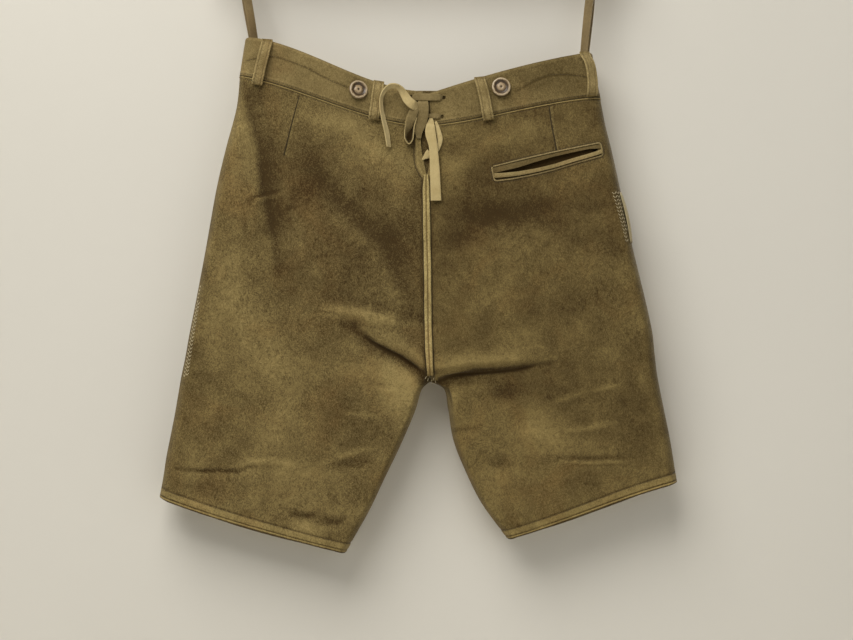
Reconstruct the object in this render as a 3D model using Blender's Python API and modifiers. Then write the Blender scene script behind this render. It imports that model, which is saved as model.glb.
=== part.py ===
"""Short leather breeches (lederhosen) hung by two hanging loops from a plain wooden rod.

The garment hangs flat. Its back faces -Y and its front +Y. The origin is the centre of the rod,
and lengths are in millimetres until a mesh is made. LEFT is the -X leg and RIGHT the +X leg.
"""
import math
from collections import namedtuple

import bmesh
import bpy
import numpy
from mathutils import Vector

MM = 0.001

# Stock
CLOTH = 2.0              # suede of the legs
BAND_CLOTH = 2.6         # waistband, two layers sewn together
THONG = 1.6              # lacing thong
SEAM_GAP = 0.3           # clearance between pieces at a seam
LIFT = 0.6               # clearance under a piece sewn onto a curved panel
BAND_PROUD = 0.6         # how far the waistband stands over the panels

# The way the hollow garment rounds off
SIDE_ROUND = 27.0        # width of the rounding at the side seams
INSEAM_ROUND = 24.0      # width of the rounding at the inner leg
CROTCH_RISE = 56.0       # height over which the seat curves under to the crotch
BAND_TOP_DEPTH = 15.0    # half depth of the waist opening

# Rod and hanging loops
ROD_DIAMETER = 20.0
ROD_LENGTH = 500.0
HANGER_WIDTH = 10.0
HANGER_THICKNESS = 2.0
HANGER_TWIST = math.radians(40)
HANGER_ROOT_DEPTH = 22.0

# Fittings
BUTTON_DIAMETER = 22.5
LOOP_WIDTH = 13.0
LOOP_THICKNESS = 2.0
LOOP_LIFT = 0.9          # clearance under the sewn ends of a belt loop

SIDES = {"left": -1, "right": 1}
LAYERS = {"back": -1, "front": 1}
COLUMNS = {"back": 18, "front": 12}
STEPS = {"back": 2, "front": 1}

# A section of a leg runs from the side seam to the centre seam or inseam: the x of its two ends,
# its height at the side, one third, two thirds and the inner end, the half depths of its back
# and front layers, and how much lower the front layer lies.
Section = namedtuple("Section", "side_x inner_x z_side z_third z_two_thirds z_inner back front drop")

LEFT_SECTIONS = (
    Section(-216, 1.0, -139, -159, -184, -199, 17, 17, 8),
    Section(-220, 1.4, -178, -195, -214, -228, 22, 20, 7),
    Section(-233, 8.5, -228, -240, -254, -264, 27, 24, 6),
    Section(-244, 8.6, -276, -286, -296, -304, 32, 27, 5),
    Section(-256, 8.6, -344, -350, -355, -358, 36, 29, 3),
    Section(-268, 8.6, -408, -412, -414, -415, 37, 30, 1),
    Section(-276, 10.3, -448, -455, -461, -462, 36, 30, 0),
    Section(-281, 11.4, -476, -484, -488, -490, 35, 30, 0),
    Section(-286, 12.2, -500, -505, -508, -506, 33, 30, 0),
    Section(-290, 2.0, -523, -530, -532, -516, 31, 28, 0),
    Section(-294, -6.0, -546, -556, -557, -542, 29, 27, 0),
    Section(-299, -23.6, -571, -583, -590, -583, 27, 26, 1),
    Section(-304, -42.4, -596, -612, -624, -622, 26, 25, 2),
    Section(-308, -61.5, -622, -642, -658, -662, 25, 24, 3),
    Section(-312, -88.6, -643, -668.8, -690.2, -709.2, 25, 24, 6.5),
)
RIGHT_SECTIONS = (
    Section(216, 13.2, -165, -174, -188, -199, 17, 17, 8),
    Section(222, 14.4, -197, -206, -218, -228, 22, 20, 7),
    Section(230, 8.5, -230, -242, -254, -264, 27, 24, 6),
    Section(240, 8.6, -276, -286, -295, -304, 32, 27, 5),
    Section(254, 8.6, -342, -348, -355, -358, 36, 29, 3),
    Section(269, 8.6, -404, -409, -414, -415, 37, 30, 1),
    Section(278, 10.3, -445, -454, -460, -462, 36, 30, 0),
    Section(281, 11.4, -472, -481, -487, -490, 35, 30, 0),
    Section(284, 12.2, -496, -504, -506, -506, 33, 30, 0),
    Section(288, 28.8, -518, -529, -530, -515, 31, 28, 0),
    Section(293, 33.6, -542, -554, -557, -538, 29, 27, 0),
    Section(298, 40.0, -566, -581, -588, -576, 27, 26, 1),
    Section(302, 54.0, -588, -605, -619, -612, 26, 25, 2),
    Section(305, 74.0, -607, -628, -647, -652, 25, 24, 3),
    Section(308, 104, -625.2, -646.2, -670.8, -692.6, 25, 24, 6.5),
)
SECTIONS = {"left": LEFT_SECTIONS, "right": RIGHT_SECTIONS}
SLIT_END = 2             # section at the foot of the centre-back slit
CROTCH = 8               # section at the crotch
FRONT_CENTRE = 8.5       # x of the centre front

# Top edge of each waistband half, side to centre
BandTop = namedtuple("BandTop", "side_x inner_x z_side z_third z_two_thirds z_inner")
BAND_TOP = {
    "left": BandTop(-209, 3.5, -94, -113, -142.5, -159),
    "right": BandTop(206.4, 11.0, -112, -124.4, -141.5, -162),
}
BAND_ROWS = 3
FRONT_BAND_DROP = 9.0    # the front edge of the waist lies lower at its centre

# Folds hang in the layer named. A positive depth stands out, a negative one is a trough.
Fold = namedtuple("Fold", "layer x0 z0 x1 z1 depth0 depth1 width")
FOLDS = (
    Fold("back", -76, -445, 4, -500, -5, -8, 9),       # trough into the crotch, left
    Fold("back", -120, -420, -42, -435, 4, 5, 12),     # ridge above it
    Fold("back", 26, -502, 168, -482, -7, -3, 8),      # trough into the crotch, right
    Fold("back", 20, -470, 130, -455, 4, 2, 14),       # ridge above it
    Fold("back", -206, -165, -170, -410, -3, -3, 11),  # long soft fold down the left side
    Fold("back", -280, -610, -190, -607, -3, -2, 8),   # knee crease, left
    Fold("back", -96, -592, -50, -585, 3, 2, 10),
    Fold("back", 170, -602, 250, -600, -3, -2, 8),     # knee crease, right
    Fold("back", 160, -565, 240, -553, 3, 2, 10),
    Fold("back", -155, -665, -118, -664, -2, -2, 7),
    Fold("front", -80, -440, 4, -498, -4, -6, 10),
    Fold("front", 24, -500, 140, -470, -5, -3, 10),
    Fold("front", 195, -190, 175, -380, -3, -2, 12),
    Fold("front", -240, -600, -120, -612, -3, -2, 10),
    Fold("front", 120, -590, 230, -596, -3, -2, 10),
)

# Belt loops: where each is sewn down, and the room for a belt under its bow
BeltLoop = namedtuple("BeltLoop", "name layer side x_top z_top x_bottom z_bottom room")
BELT_LOOPS = (
    BeltLoop("belt_loop_1", "back", "left", -182, -99, -194, -152, 6.0),
    BeltLoop("belt_loop_2", "back", "left", -49, -149, -55, -194, 6.2),
    BeltLoop("belt_loop_3", "back", "right", 71, -144, 82, -195, 6.2),
    BeltLoop("belt_loop_4", "back", "right", 196, -115, 204, -166, 7.4),
    BeltLoop("belt_loop_front_left", "front", "left", -130, -133, -136, -182, 6.0),
    BeltLoop("belt_loop_front_right", "front", "right", 130, -138, 136, -189, 6.0),
)

ButtonPlace = namedtuple("ButtonPlace", "name layer side x z")
BRACE_BUTTONS = (
    ButtonPlace("brace_button_left", "back", "left", -74, -158),
    ButtonPlace("brace_button_right", "back", "right", 96.6, -154.6),
    ButtonPlace("brace_button_front_left", "front", "left", -104, -158),
    ButtonPlace("brace_button_front_right", "front", "right", 104, -160),
)

COLOURS = {
    "suede": (0.118, 0.082, 0.028),
    "welt": (0.270, 0.190, 0.068),
    "band": (0.160, 0.110, 0.038),
    "thong": (0.380, 0.300, 0.150),
    "horn": (0.200, 0.130, 0.060),
    "strap": (0.150, 0.098, 0.040),
    "wood": (0.420, 0.270, 0.130),
}
ROUGHNESS = {"suede": 0.95, "welt": 0.85, "band": 0.9, "thong": 0.8, "horn": 0.35, "strap": 0.7, "wood": 0.6}


def clear_scene():
    for item in list(bpy.data.objects):
        bpy.data.objects.remove(item, do_unlink=True)


def new_collection(name):
    collection = bpy.data.collections.new(name)
    bpy.context.scene.collection.children.link(collection)
    return collection


def material(name, finish):
    found = bpy.data.materials.new(name)
    found.use_nodes = True
    shader = found.node_tree.nodes["Principled BSDF"]
    shader.inputs["Base Color"].default_value = (*COLOURS[finish], 1.0)
    shader.inputs["Roughness"].default_value = ROUGHNESS[finish]
    shader.inputs["Metallic"].default_value = 0.0
    return found


def add_object(name, mesh, finish, collection):
    item = bpy.data.objects.new(name, mesh)
    mesh.materials.append(material(name, finish))
    collection.objects.link(item)
    return item


def loft(name, rings, finish, collection):
    """One closed body through rings of equal length, capped at both ends."""
    shape = bmesh.new()
    loops = [[shape.verts.new(Vector(point) * MM) for point in ring] for ring in rings]
    for lower, upper in zip(loops, loops[1:]):
        for k in range(len(lower)):
            after = (k + 1) % len(lower)
            shape.faces.new((lower[k], lower[after], upper[after], upper[k]))
    shape.faces.new(loops[0])
    shape.faces.new(loops[-1])
    bmesh.ops.recalc_face_normals(shape, faces=shape.faces)
    mesh = bpy.data.meshes.new(name)
    shape.to_mesh(mesh)
    shape.free()
    return add_object(name, mesh, finish, collection)


def wall(name, outer, inner, finish, collection):
    """A closed wall between two grids of points, with a rim on all four edges."""
    shape = bmesh.new()
    front = [[shape.verts.new(Vector(point) * MM) for point in row] for row in outer]
    rear = [[shape.verts.new(Vector(point) * MM) for point in row] for row in inner]
    rows, columns = len(front), len(front[0])
    for sheet in (front, rear):
        for i in range(rows - 1):
            for j in range(columns - 1):
                shape.faces.new((sheet[i][j], sheet[i][j + 1], sheet[i + 1][j + 1], sheet[i + 1][j]))
    for i in range(rows - 1):
        for j in (0, columns - 1):
            shape.faces.new((front[i][j], front[i + 1][j], rear[i + 1][j], rear[i][j]))
    for j in range(columns - 1):
        for i in (0, rows - 1):
            shape.faces.new((front[i][j], front[i][j + 1], rear[i][j + 1], rear[i][j]))
    bmesh.ops.recalc_face_normals(shape, faces=shape.faces)
    mesh = bpy.data.meshes.new(name)
    shape.to_mesh(mesh)
    shape.free()
    return add_object(name, mesh, finish, collection)


# ---- the cloth as a surface -------------------------------------------------

def smooth_between(before, start, end, after, t):
    """Catmull-Rom curve from start to end."""
    return 0.5 * (2 * start + (end - before) * t
                  + (2 * before - 5 * start + 4 * end - after) * t * t
                  + (3 * start - before - 3 * end + after) * t ** 3)


def section_at(side, v):
    """The section v rows down the leg. The inner edge turns sharply at the slit's foot and the crotch."""
    rows = SECTIONS[side]
    last = len(rows) - 1
    i = min(int(v), last - 1)
    breaks = (0, SLIT_END, CROTCH, last)
    low = max(b for b in breaks if b <= i)
    high = min(b for b in breaks if b > i)
    values = []
    for field in Section._fields:
        first, final = (low, high) if field in ("inner_x", "z_inner") else (0, last)
        picks = [getattr(rows[min(max(k, first), final)], field) for k in (i - 1, i, i + 1, i + 2)]
        values.append(smooth_between(*picks, v - i))
    return Section(*values)


def through_four(u, a, b, c, d):
    """The cubic that passes a, b, c and d at u = 0, 1/3, 2/3 and 1."""
    return (a * (1 - 3 * u) * (2 - 3 * u) * (1 - u) / 2 + b * 9 * u * (2 - 3 * u) * (1 - u) / 2
            - c * 9 * u * (1 - 3 * u) * (1 - u) / 2 + d * u * (1 - 3 * u) * (2 - 3 * u) / 2)


def rounding(distance, width):
    """0 at an edge and 1 beyond the width, along a quarter ellipse."""
    return math.sqrt(1 - (1 - min(max(distance, 0) / width, 1)) ** 2)


def fold_depth(layer, x, z):
    total = 0.0
    for fold in FOLDS:
        if fold.layer != layer:
            continue
        run, rise = fold.x1 - fold.x0, fold.z1 - fold.z0
        along = ((x - fold.x0) * run + (z - fold.z0) * rise) / (run * run + rise * rise)
        t = min(max(along, 0), 1)
        away = math.hypot(x - fold.x0 - t * run, z - fold.z0 - t * rise)
        total += (fold.depth0 + t * (fold.depth1 - fold.depth0)) * math.exp(-(away / fold.width) ** 2)
    return total


def centre_edge(side, layer, v, x):
    """The x of a panel's inner edge: open along the back slit, closed down the front, else as cut."""
    if layer == "back" and v < SLIT_END:
        return x
    if v < SLIT_END:
        x = FRONT_CENTRE
    return x + SIDES[side] * SEAM_GAP / 2 if v <= CROTCH else x


def panel_height(side, layer, u, v):
    row = section_at(side, v)
    z = through_four(u, row.z_side, row.z_third, row.z_two_thirds, row.z_inner)
    if layer == "front":
        z -= row.drop * math.sin(math.pi * u * (0.5 if v < CROTCH else 1))
    return z


def panel_point(side, layer, u, v):
    """A point on the outside of a leg panel: u from the side seam inward, v down the sections."""
    row = section_at(side, v)
    inner_x = centre_edge(side, layer, v, row.inner_x)
    x = row.side_x + u * (inner_x - row.side_x)
    z = panel_height(side, layer, u, v)
    edge = 0.0
    if v < CROTCH:
        crotch_z = SECTIONS[side][CROTCH].z_inner
        edge = rounding(row.z_inner - crotch_z, CROTCH_RISE)
    inward = rounding(abs(inner_x - x), INSEAM_ROUND)
    inner = math.sqrt(edge ** 2 + (1 - edge ** 2) * inward ** 2)
    outer = rounding(abs(x - row.side_x), min(SIDE_ROUND, row.back + 2))
    depth = (getattr(row, layer) + fold_depth(layer, x, z)) * outer * inner
    return numpy.array((x, LAYERS[layer] * (SEAM_GAP / 2 + depth), z))


def spread(count):
    """Fractions from 0 to 1, closer together near both ends."""
    return [t - 0.1 * math.sin(2 * math.pi * t) for t in (k / count for k in range(count + 1))]


def unit(vectors):
    return vectors / numpy.linalg.norm(vectors, axis=-1, keepdims=True)


def outward(grid, layer):
    """Outward directions on a grid of surface points."""
    normal = unit(numpy.cross(numpy.gradient(grid, axis=1), numpy.gradient(grid, axis=0)))
    middle = normal[len(grid) // 2, grid.shape[1] // 2, 1]
    return normal * LAYERS[layer] * math.copysign(1, middle)


def panel_grid(side, layer):
    count = (len(SECTIONS[side]) - 1) * STEPS[layer]
    rows = [[panel_point(side, layer, u, k / STEPS[layer]) for u in spread(COLUMNS[layer])]
            for k in range(count + 1)]
    grid = numpy.array(rows)
    grid[0, :, 2] -= SEAM_GAP / 2
    return grid


def panel_directions(grid, layer):
    """Outward directions that keep every cut edge in the plane of its seam."""
    normal = outward(grid, layer)
    crotch = CROTCH * STEPS[layer]
    normal[0, :, 2] = 0
    normal[-1, :, 2] = 0
    normal[:, 0, 1] = 0
    normal[:crotch + 1, -1, 0] = 0
    normal[crotch:, -1, 1] = 0
    normal[crotch, -1] = (0, 0, -1)
    return unit(normal)


def make_panel(side, layer, collection):
    grid = panel_grid(side, layer)
    inner = grid - CLOTH * panel_directions(grid, layer)
    if layer == "back":
        inner[..., 1] = numpy.minimum(inner[..., 1], -SEAM_GAP / 2)
    else:
        inner[..., 1] = numpy.maximum(inner[..., 1], SEAM_GAP / 2)
    return wall(f"{layer}_{side}", grid, inner, "suede", collection)


def fraction(x, start, end):
    """How far x lies from start to end, kept within the two."""
    return min(max((x - start) / (end - start), 0), 1)


def locate(side, layer, x, z):
    """The u and v of a panel at a given x and z."""
    last = len(SECTIONS[side]) - 1
    u, v = 0.5, last * (z + 140) / -560
    for _ in range(30):
        v = min(max(v, 0), last - 0.1)
        row = section_at(side, v)
        u = fraction(x, row.side_x, centre_edge(side, layer, v, row.inner_x))
        here = panel_height(side, layer, u, v)
        if abs(z - here) < 0.005:
            break
        slope = min((panel_height(side, layer, u, v + 0.1) - here) / 0.1, -5)
        v += (z - here) / slope
    return u, v


# ---- the waistband as a surface ---------------------------------------------

def band_point(side, layer, u, h):
    """A point on the outside of the waistband: h from 0 at the waist seam to 1 at the top edge."""
    seam = panel_point(side, layer, u, 0)
    ahead = panel_point(side, layer, min(u + 0.004, 1), 0)
    behind = panel_point(side, layer, max(u - 0.004, 0), 0)
    along = ahead - behind
    out = numpy.array((-along[1], along[0], 0.0))
    out *= LAYERS[layer] * math.copysign(1, out[1]) / numpy.linalg.norm(out)
    if u == 0:
        out = numpy.array((SIDES[side], 0.0, 0.0))
    low = seam + out * BAND_PROUD + numpy.array((0, 0, SEAM_GAP / 2))
    top = BAND_TOP[side]
    x = top.side_x + u * (centre_edge(side, layer, 0, top.inner_x) - top.side_x)
    z = through_four(u, top.z_side, top.z_third, top.z_two_thirds, top.z_inner)
    if layer == "front":
        z -= FRONT_BAND_DROP * math.sin(math.pi * u / 2)
    depth = (BAND_TOP_DEPTH + BAND_PROUD) * rounding(abs(x - top.side_x), BAND_TOP_DEPTH + 2)
    high = numpy.array((x, LAYERS[layer] * depth, z))
    if u == 0:
        low[1] = 0.0
    return low + h * (high - low)


def band_columns(side):
    """Columns of the half ring: centre back, round the side, to the centre front."""
    back = [("back", u) for u in reversed(spread(COLUMNS["back"]))]
    return back + [("front", u) for u in spread(COLUMNS["front"])[1:]]


def make_band(side, collection):
    columns = band_columns(side)
    grid = numpy.array([[band_point(side, layer, u, 1 - k / BAND_ROWS) for layer, u in columns]
                        for k in range(BAND_ROWS + 1)])
    normal = numpy.cross(numpy.gradient(grid, axis=1), numpy.gradient(grid, axis=0))
    normal = unit(normal)
    normal *= math.copysign(1, -normal[1, 3, 1])
    normal[..., 2] = 0
    front_start = next(k for k, column in enumerate(columns) if column[0] == "front") - 1
    normal[:, front_start, 1] = 0
    normal[:, 0, 0] = 0
    normal[:, -1, 0] = 0
    inner = grid - BAND_CLOTH * unit(normal)
    return wall(f"waistband_{side}", grid, inner, "band", collection)


def seam_height(side, layer, x):
    row = SECTIONS[side][0]
    u = fraction(x, row.side_x, centre_edge(side, layer, 0, row.inner_x))
    return panel_height(side, layer, u, 0)


def cloth_point(side, layer, x, z):
    """The outside of the garment at x and z, on the waistband or on the panel below it."""
    if z >= seam_height(side, layer, x):
        h = 0.5
        low, high = SECTIONS[side][0], BAND_TOP[side]
        low_inner, high_inner = (centre_edge(side, layer, 0, row.inner_x) for row in (low, high))
        for _ in range(5):
            side_x = low.side_x + h * (high.side_x - low.side_x)
            inner_x = low_inner + h * (high_inner - low_inner)
            u = max(fraction(x, side_x, inner_x), 0.001)
            z0, z1 = (band_point(side, layer, u, k)[2] for k in (0, 1))
            h = (z - z0) / (z1 - z0)
        return band_point(side, layer, u, h)
    u, v = locate(side, layer, x, z)
    return panel_point(side, layer, u, v)


def cloth_frame(side, layer, x, z):
    """Point and outward direction of the garment at x and z."""
    reach = 1.0
    point = cloth_point(side, layer, x, z)
    across = cloth_point(side, layer, x + reach, z) - cloth_point(side, layer, x - reach, z)
    up = cloth_point(side, layer, x, z + reach) - cloth_point(side, layer, x, z - reach)
    normal = unit(numpy.cross(across, up))
    return point, normal * LAYERS[layer] * math.copysign(1, normal[1])


# ---- pieces sewn on ---------------------------------------------------------

def ribbon(name, path, across, width, thickness, finish, collection):
    """A flat strap along a path. across gives the direction of its width at each point."""
    path = numpy.array(path, dtype=float)
    along = unit(numpy.gradient(path, axis=0))
    rings = []
    for point, tangent, wide, size in zip(path, along, across, numpy.broadcast_to(width, len(path))):
        wide = numpy.array(wide, dtype=float)
        wide = unit(wide - tangent * wide.dot(tangent))
        deep = numpy.cross(tangent, wide)
        corners = ((1, 1), (-1, 1), (-1, -1), (1, -1))
        rings.append([point + a * wide * size / 2 + b * deep * thickness / 2 for a, b in corners])
    return loft(name, rings, finish, collection)


def smooth_path(points, count):
    """Points spread along a Catmull-Rom curve through the route's own points."""
    route = numpy.array(points, dtype=float)
    last = len(route) - 1
    path = []
    for k in range(count + 1):
        place = k / count * last
        i = min(int(place), last - 1)
        picks = [route[min(max(n, 0), last)] for n in (i - 1, i, i + 1, i + 2)]
        path.append(smooth_between(*picks, place - i))
    return numpy.array(path)


def make_belt_loop(loop, collection):
    """A leather strip sewn down at both ends and bowed off the waistband between them."""
    path, across = [], []
    stations = (0, 0.07, 0.16, 0.28, 0.42, 0.58, 0.72, 0.84, 0.93, 1)
    lifts = (0, 0.1, 0.75, 1, 1, 1, 1, 0.75, 0.1, 0)
    for station, lift in zip(stations, lifts):
        x = loop.x_top + station * (loop.x_bottom - loop.x_top)
        z = loop.z_top + station * (loop.z_bottom - loop.z_top)
        point, normal = cloth_frame(loop.side, loop.layer, x, z)
        raised = LOOP_LIFT + LOOP_THICKNESS / 2 + lift * (loop.room - LOOP_LIFT)
        path.append(point + normal * raised)
        across.append(numpy.cross(normal, (0, 0, 1)))
    return ribbon(loop.name, path, across, LOOP_WIDTH, LOOP_THICKNESS, "welt", collection)


def make_button(place, lift, collection):
    """A turned horn button: short shank, raised rim, sunk ring and a domed middle."""
    radius = BUTTON_DIAMETER / 2
    profile = ((0, 0), (4.2, 0), (4.2, 1.4), (radius - 1, 1.6), (radius, 2.8), (radius - 1.2, 4.4),
               (radius - 3.4, 4.2), (radius - 4.6, 3.0), (4.4, 3.0), (3.4, 4.0), (0, 4.3))
    outline = bpy.data.meshes.new(place.name)
    outline.from_pydata([(r * MM, 0, h * MM) for r, h in reversed(profile)],
                        [(k, k + 1) for k in range(len(profile) - 1)], [])
    item = add_object(place.name, outline, "horn", collection)
    turn = item.modifiers.new("turned", "SCREW")
    turn.axis = "Z"
    turn.steps = 16
    turn.render_steps = 16
    turn.use_merge_vertices = True
    turn.merge_threshold = 0.00005
    point, normal = cloth_frame(place.side, place.layer, place.x, place.z)
    item.location = Vector(point + normal * lift) * MM
    item.rotation_euler = Vector(normal).to_track_quat("Z", "Y").to_euler()
    return item


def patch(name, grid, layer, lift, thickness, finish, collection):
    """A piece lying on the cloth, from a grid of (side, x, z) places moved out along the normals."""
    outer, inner = [], []
    for row in grid:
        frames = [cloth_frame(side, layer, x, z) for side, x, z in row]
        inner.append([point + normal * lift for point, normal in frames])
        outer.append([point + normal * (lift + thickness) for point, normal in frames])
    return wall(name, outer, inner, finish, collection)


# Centre-back strip
WELT_WIDTH = 8.0
WELT_THICKNESS = 1.8
WELT_TOP = -258.0
WELT_FOOT = -499.0
WELT_CROWN = 0.7         # how far its middle is raised
WELT_CLEARANCE = 1.5     # it clears the cloth this far beside it


def make_centre_welt(collection):
    rows = [v for v in (k / STEPS["back"] for k in range(2 * CROTCH + 1))
            if WELT_FOOT <= section_at("left", v).z_inner <= WELT_TOP]
    outer, inner = [], []
    for v in rows:
        left, right = panel_point("left", "back", 1, v), panel_point("right", "back", 1, v)
        above, below = panel_point("left", "back", 1, v - 0.2), panel_point("left", "back", 1, v + 0.2)
        out = unit(numpy.array((0.0, -(above - below)[2], (above - below)[1])))
        middle = (left + right) / 2
        reach = WELT_WIDTH / 2 + WELT_CLEARANCE
        beside = [cloth_point(side, "back", middle[0] + SIDES[side] * reach, middle[2])[1] for side in SIDES]
        middle[1] = min(middle[1], *beside)
        line = [middle + numpy.array((k * WELT_WIDTH / 2, 0, 0)) for k in (-1, 0, 1)]
        inner.append([point + out * LIFT for point in line])
        crown = (0, WELT_CROWN, 0)
        outer.append([point + out * (LIFT + WELT_THICKNESS + c) for point, c in zip(line, crown)])
    return wall("centre_back_welt", outer, inner, "welt", collection)


# Wedge behind the lacing
GUSSET_TOP = -166.0
GUSSET_FOOT = -270.0
GUSSET_HALF_WIDTH = 18.0
GUSSET_FOOT_HALF_WIDTH = 5.0
GUSSET_MIDDLE = (6.5, 8.5)   # x of its middle at the top and at the foot
GUSSET_CLOTH = 1.5


def make_gusset(collection):
    outer, inner = [], []
    steps = 8
    for k in range(steps + 1):
        t = k / steps
        z = GUSSET_TOP + t * (GUSSET_FOOT - GUSSET_TOP)
        half = GUSSET_HALF_WIDTH + t * (GUSSET_FOOT_HALF_WIDTH - GUSSET_HALF_WIDTH)
        depth = -cloth_point("left", "back", -2, z)[1]
        y = -(depth - BAND_CLOTH - LIFT)
        middle = GUSSET_MIDDLE[0] + t * (GUSSET_MIDDLE[1] - GUSSET_MIDDLE[0])
        line = [numpy.array((middle + side * half, y, z)) for side in (-1, 0, 1)]
        outer.append(line)
        inner.append([point + numpy.array((0, GUSSET_CLOTH, 0)) for point in line])
    return wall("back_gusset", outer, inner, "suede", collection)


# Back pocket: a slanted slot between two welts, with a leaf of cloth behind it
POCKET_CORNER = numpy.array((85.0, -250.0))   # inner upper corner, x and z
POCKET_LENGTH = 132.0
POCKET_SLOPE = math.radians(12.6)
UPPER_WELT = (0.0, 5.6)
SLOT = (6.0, 9.4)
LOWER_WELT = (9.8, 17.0)
SLOT_MARGIN = 4.0           # the slot stops this far inside the welts' ends
SLOT_CUT_DEPTH = 40.0
WELT_CLOTH = 2.0
BAG_DEPTH = 120.0
BAG_INSET = (4.0, 10.0)  # how far the bag stops inside the pocket's ends
BAG_CLOTH = 1.2
BAG_LIFT = 0.9
BAG_SAG = 2.4


def pocket_place(along, down):
    """x and z of a place on the pocket, along its slope and square down from its upper edge."""
    x = POCKET_CORNER[0] + along * math.cos(POCKET_SLOPE) + down * math.sin(POCKET_SLOPE)
    z = POCKET_CORNER[1] + along * math.sin(POCKET_SLOPE) - down * math.cos(POCKET_SLOPE)
    return "right", x, z


def make_pocket_welt(name, span, collection):
    steps = 16
    grid = [[pocket_place(POCKET_LENGTH * k / steps, down) for k in range(steps + 1)] for down in span]
    return patch(name, grid, "back", LIFT, WELT_CLOTH, "welt", collection)


def make_pocket_bag(collection):
    across, down = 10, 5
    outer, inner = [], []
    for i in range(down + 1):
        outer_row, inner_row = [], []
        for k in range(across + 1):
            a, b = k / across, i / down
            side, x, z = pocket_place(BAG_INSET[0] + (POCKET_LENGTH - sum(BAG_INSET)) * a, 1 + BAG_DEPTH * b)
            point, normal = cloth_frame(side, "back", x, z)
            sag = BAG_LIFT + BAG_SAG * math.sin(math.pi * a) * math.sin(math.pi * (0.15 + 0.85 * b))
            outer_row.append(point - normal * (CLOTH + sag))
            inner_row.append(point - normal * (CLOTH + sag + BAG_CLOTH))
        outer.append(outer_row)
        inner.append(inner_row)
    return wall("pocket_bag", outer, inner, "suede", collection)


def cut_pocket_slot(panel, collection):
    middle = (SLOT[0] + SLOT[1]) / 2
    side, x, z = pocket_place(POCKET_LENGTH / 2, middle)
    bpy.ops.mesh.primitive_cube_add(size=1)
    cutter = bpy.context.active_object
    cutter.name = "pocket_slot_cutter"
    for owner in list(cutter.users_collection):
        owner.objects.unlink(cutter)
    collection.objects.link(cutter)
    cutter.scale = Vector((POCKET_LENGTH - 2 * SLOT_MARGIN, SLOT_CUT_DEPTH, SLOT[1] - SLOT[0])) * MM
    cutter.rotation_euler = (0, -POCKET_SLOPE, 0)
    cutter.location = Vector((x, -SLOT_CUT_DEPTH / 2, z)) * MM
    cutter.hide_render = True
    cutter.display_type = "WIRE"
    cut = panel.modifiers.new("pocket slot", "BOOLEAN")
    cut.operation = "DIFFERENCE"
    cut.solver = "EXACT"
    cut.object = cutter


# Knife pocket: a narrow leaf round the right side seam, open at its top
KNIFE_TOP = -279.0
KNIFE_FOOT = -342.0
KNIFE_MOUTH = 2.8        # how far its top gapes
KNIFE_LIFT = 0.9
KNIFE_SIDE_X = 240.0
KNIFE_REACHES = (-9, -5, -2, 0, 2, 5, 10, 18, 26)   # columns, from the back round to the front


def make_knife_pocket(collection):
    outer, inner = [], []
    steps = 6
    for k in range(steps + 1):
        t = k / steps
        z = KNIFE_TOP + t * (KNIFE_FOOT - KNIFE_TOP)
        open_by = KNIFE_LIFT + KNIFE_MOUTH * (1 - t) ** 1.5
        line = []
        for reach in KNIFE_REACHES:
            layer = "back" if reach < 0 else "front"
            v = locate("right", layer, KNIFE_SIDE_X, z)[1]
            edge = section_at("right", v).side_x
            u = abs(reach) / (edge - section_at("right", v).inner_x)
            point = panel_point("right", layer, u, v)
            point[2] = z
            centre = numpy.array((edge - SIDE_ROUND, 0, z))
            out = point - centre
            out[0] /= SIDE_ROUND ** 2
            out[1] /= section_at("right", v).back ** 2
            out[2] = 0
            line.append((point, unit(out)))
        inner.append([point + out * open_by for point, out in line])
        outer.append([point + out * (open_by + CLOTH) for point, out in line])
    return wall("knife_pocket", outer, inner, "suede", collection)


# Drop front: the flap buttoned over the front
FLAP_TOP_HALF_WIDTH = 84.0
FLAP_FOOT_HALF_WIDTH = 70.0
FLAP_MIDDLE = 7.0
FLAP_TOP = -172.0
FLAP_HEIGHT = 185.0
FLAP_CORNER_RISE = 6.0   # its top edge dips in the middle
FLAP_LIFT = 1.1
FLAP_CLOTH = 2.0
FLAP_BUTTON_INSET = 14.0
FLAP_BUTTON_DROP = 12.0
FLAP_BUTTON_LIFT = 0.5


def make_flap(collection):
    across, down = 12, 10
    outer, inner = [], []
    for i in range(down + 1):
        t = i / down
        half = FLAP_TOP_HALF_WIDTH + t * (FLAP_FOOT_HALF_WIDTH - FLAP_TOP_HALF_WIDTH)
        line = []
        for k in range(across + 1):
            a = 2 * k / across - 1
            x = FLAP_MIDDLE + a * half
            z = FLAP_TOP + FLAP_CORNER_RISE * a * a - t * FLAP_HEIGHT
            line.append(cloth_point("left" if x < FRONT_CENTRE else "right", "front", x, z))
        inner.append([point + numpy.array((0, FLAP_LIFT, 0)) for point in line])
        outer.append([point + numpy.array((0, FLAP_LIFT + FLAP_CLOTH, 0)) for point in line])
    return wall("front_flap", outer, inner, "suede", collection)


# ---- lacing -----------------------------------------------------------------

SLIT_MIDDLE = 7.0

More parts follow.
